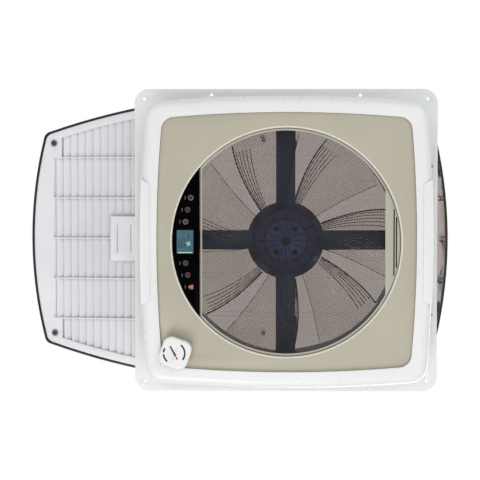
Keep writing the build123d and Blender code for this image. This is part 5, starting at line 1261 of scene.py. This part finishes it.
@dataclass
class RoofSide(Unit):
    """Flange and upstand on the roof, its seal, the metal hinges on it, and the board below."""

    edge: float = 0.7

    def build(self) -> None:
        """Makes the base moulding and dresses its fittings."""
        self.mould("roof_base", POLYPROPYLENE_MOULDED, "shell_pale", "base", edge=self.edge)
        self.use({EPDM_EXTRUDED: "rim_seal", STEEL_DRAWN: "hinge_pins", EPOXY_GREEN: "control_board",
                  STEEL_ZINC: "hinge_brackets bracket_screws ceiling_screws board_screws",
                  NYLON_BLACK: "key_switches terminal_block"})


@dataclass
class Studio:
    """Pale floor, soft light from below and above, and the camera that looks up at the ceiling side."""

    camera_place: Point = (-0.0359, -0.0912, -2.2)
    aim: Point = (-0.0637, -0.0008, 0.0)
    lens: float = 118.8
    sensor: float = 36.0
    far: float = 50.0
    floor_level: float = -2.6
    floor_reach: float = 40.0
    # name, place in metres, side in metres, watts and colour of each light, all aimed at the vent
    lights: tuple[tuple[str, Point, float, float, str], ...] = (
        ("key_from_below", (-0.5, 1.35, -1.45), 1.1, 11.5, "#FFFEFB"),
        ("fill_from_below", (1.3, -1.1, -1.8), 1.8, 7.0, "#F6F8FF"),
        ("back_from_above", (0.9, 1.1, 1.9), 1.6, 34.0, "#FFFFFF"))
    # heights of a ray's direction between which the even light grows from the first strength to the second
    glow_span: Flat = (-0.4, 0.6)
    glow: Flat = (0.35, 0.85)

    def build(self) -> None:
        """Sets the stage."""
        scene = bpy.context.scene
        scene.view_settings.view_transform = "Standard"
        scene.view_settings.look = "None"
        self.floor()
        self.world(scene)
        for light in self.lights:
            self.soft_box(*light)
        self.camera(scene)

    def floor(self) -> None:
        """Lays the pale floor far below the vent."""
        shape = bmesh.new()
        bmesh.ops.create_grid(shape, x_segments=2, y_segments=2, size=self.floor_reach)
        bmesh.ops.translate(shape, vec=(0, 0, self.floor_level), verts=shape.verts)
        ground = mesh_object("floor", shape)
        ground.data.materials.append(PLASTER_PAINTED.build())

    def world(self, scene: bpy.types.Scene) -> None:
        """Gives a white backdrop to the eye and a softer even light to the object.

        Args:
            scene: The scene.
        """
        world = bpy.data.worlds.new("studio")
        scene.world = world
        world.use_nodes = True
        tree = world.node_tree
        tree.nodes.clear()
        path = add(tree, "ShaderNodeLightPath")
        seen = add(tree, "ShaderNodeBackground", {"Color": linear("#FFFFFF"), "Strength": 1.0})
        way = add(tree, "ShaderNodeTexCoord").outputs["Generated"]
        height = add(tree, "ShaderNodeSeparateXYZ", {"Vector": way}).outputs["Z"]
        even = remap(tree, height, self.glow_span, self.glow)
        given = add(tree, "ShaderNodeBackground", {"Color": linear("#F6F7FA"), "Strength": even})
        mixed = add(tree, "ShaderNodeMixShader", {0: path.outputs["Is Camera Ray"],
                                                  1: given.outputs["Background"],
                                                  2: seen.outputs["Background"]})
        add(tree, "ShaderNodeOutputWorld", {"Surface": mixed.outputs["Shader"]})

    def soft_box(self, name: str, place: Point, size: float, power: float, colour: str) -> None:
        """Hangs one square soft light, aimed at the origin.

        Args:
            name: Its name.
            place: Where it hangs, in metres.
            size: The side of its face, in metres.
            power: Its watts.
            colour: Its sRGB colour.
        """
        data = bpy.data.lights.new(name, "AREA")
        data.shape = "SQUARE"
        data.size = size
        data.energy = power
        data.color = linear(colour)[:3]
        lamp = bpy.data.objects.new(name, data)
        lamp.location = place
        lamp.rotation_euler = (-Vector(place)).to_track_quat("-Z", "Y").to_euler()
        lamp.visible_camera = False
        lamp.visible_transmission = False
        bpy.context.scene.collection.objects.link(lamp)

    def camera(self, scene: bpy.types.Scene) -> None:
        """Places the camera below the vent, with the photograph's down along +Y.

        Args:
            scene: The scene.
        """
        data = bpy.data.cameras.new("camera")
        data.lens = self.lens
        data.sensor_width = self.sensor
        data.clip_end = self.far
        eye = bpy.data.objects.new("camera", data)
        place = Vector(self.camera_place)
        forward = (Vector(self.aim) - place).normalized()
        right = forward.cross(Vector((0, -1, 0))).normalized()
        up = right.cross(forward)
        turn = Matrix((right, up, -forward)).transposed()
        eye.matrix_world = Matrix.Translation(place) @ turn.to_4x4()
        scene.collection.objects.link(eye)
        scene.camera = eye


def main() -> None:
    """Builds the dressed vent from its parts in order."""
    logging.basicConfig(level=logging.INFO, format="%(name)s: %(message)s")
    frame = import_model()
    for unit in (RoofSide, Ceiling, ControlPanel, InsectScreen, FanUnit, LidUnit, LiftGear):
        LOG.info("building %s", unit.__name__)
        unit(frame["nodes"]).build()
    Studio().build()


if __name__ == "__main__":
    main()
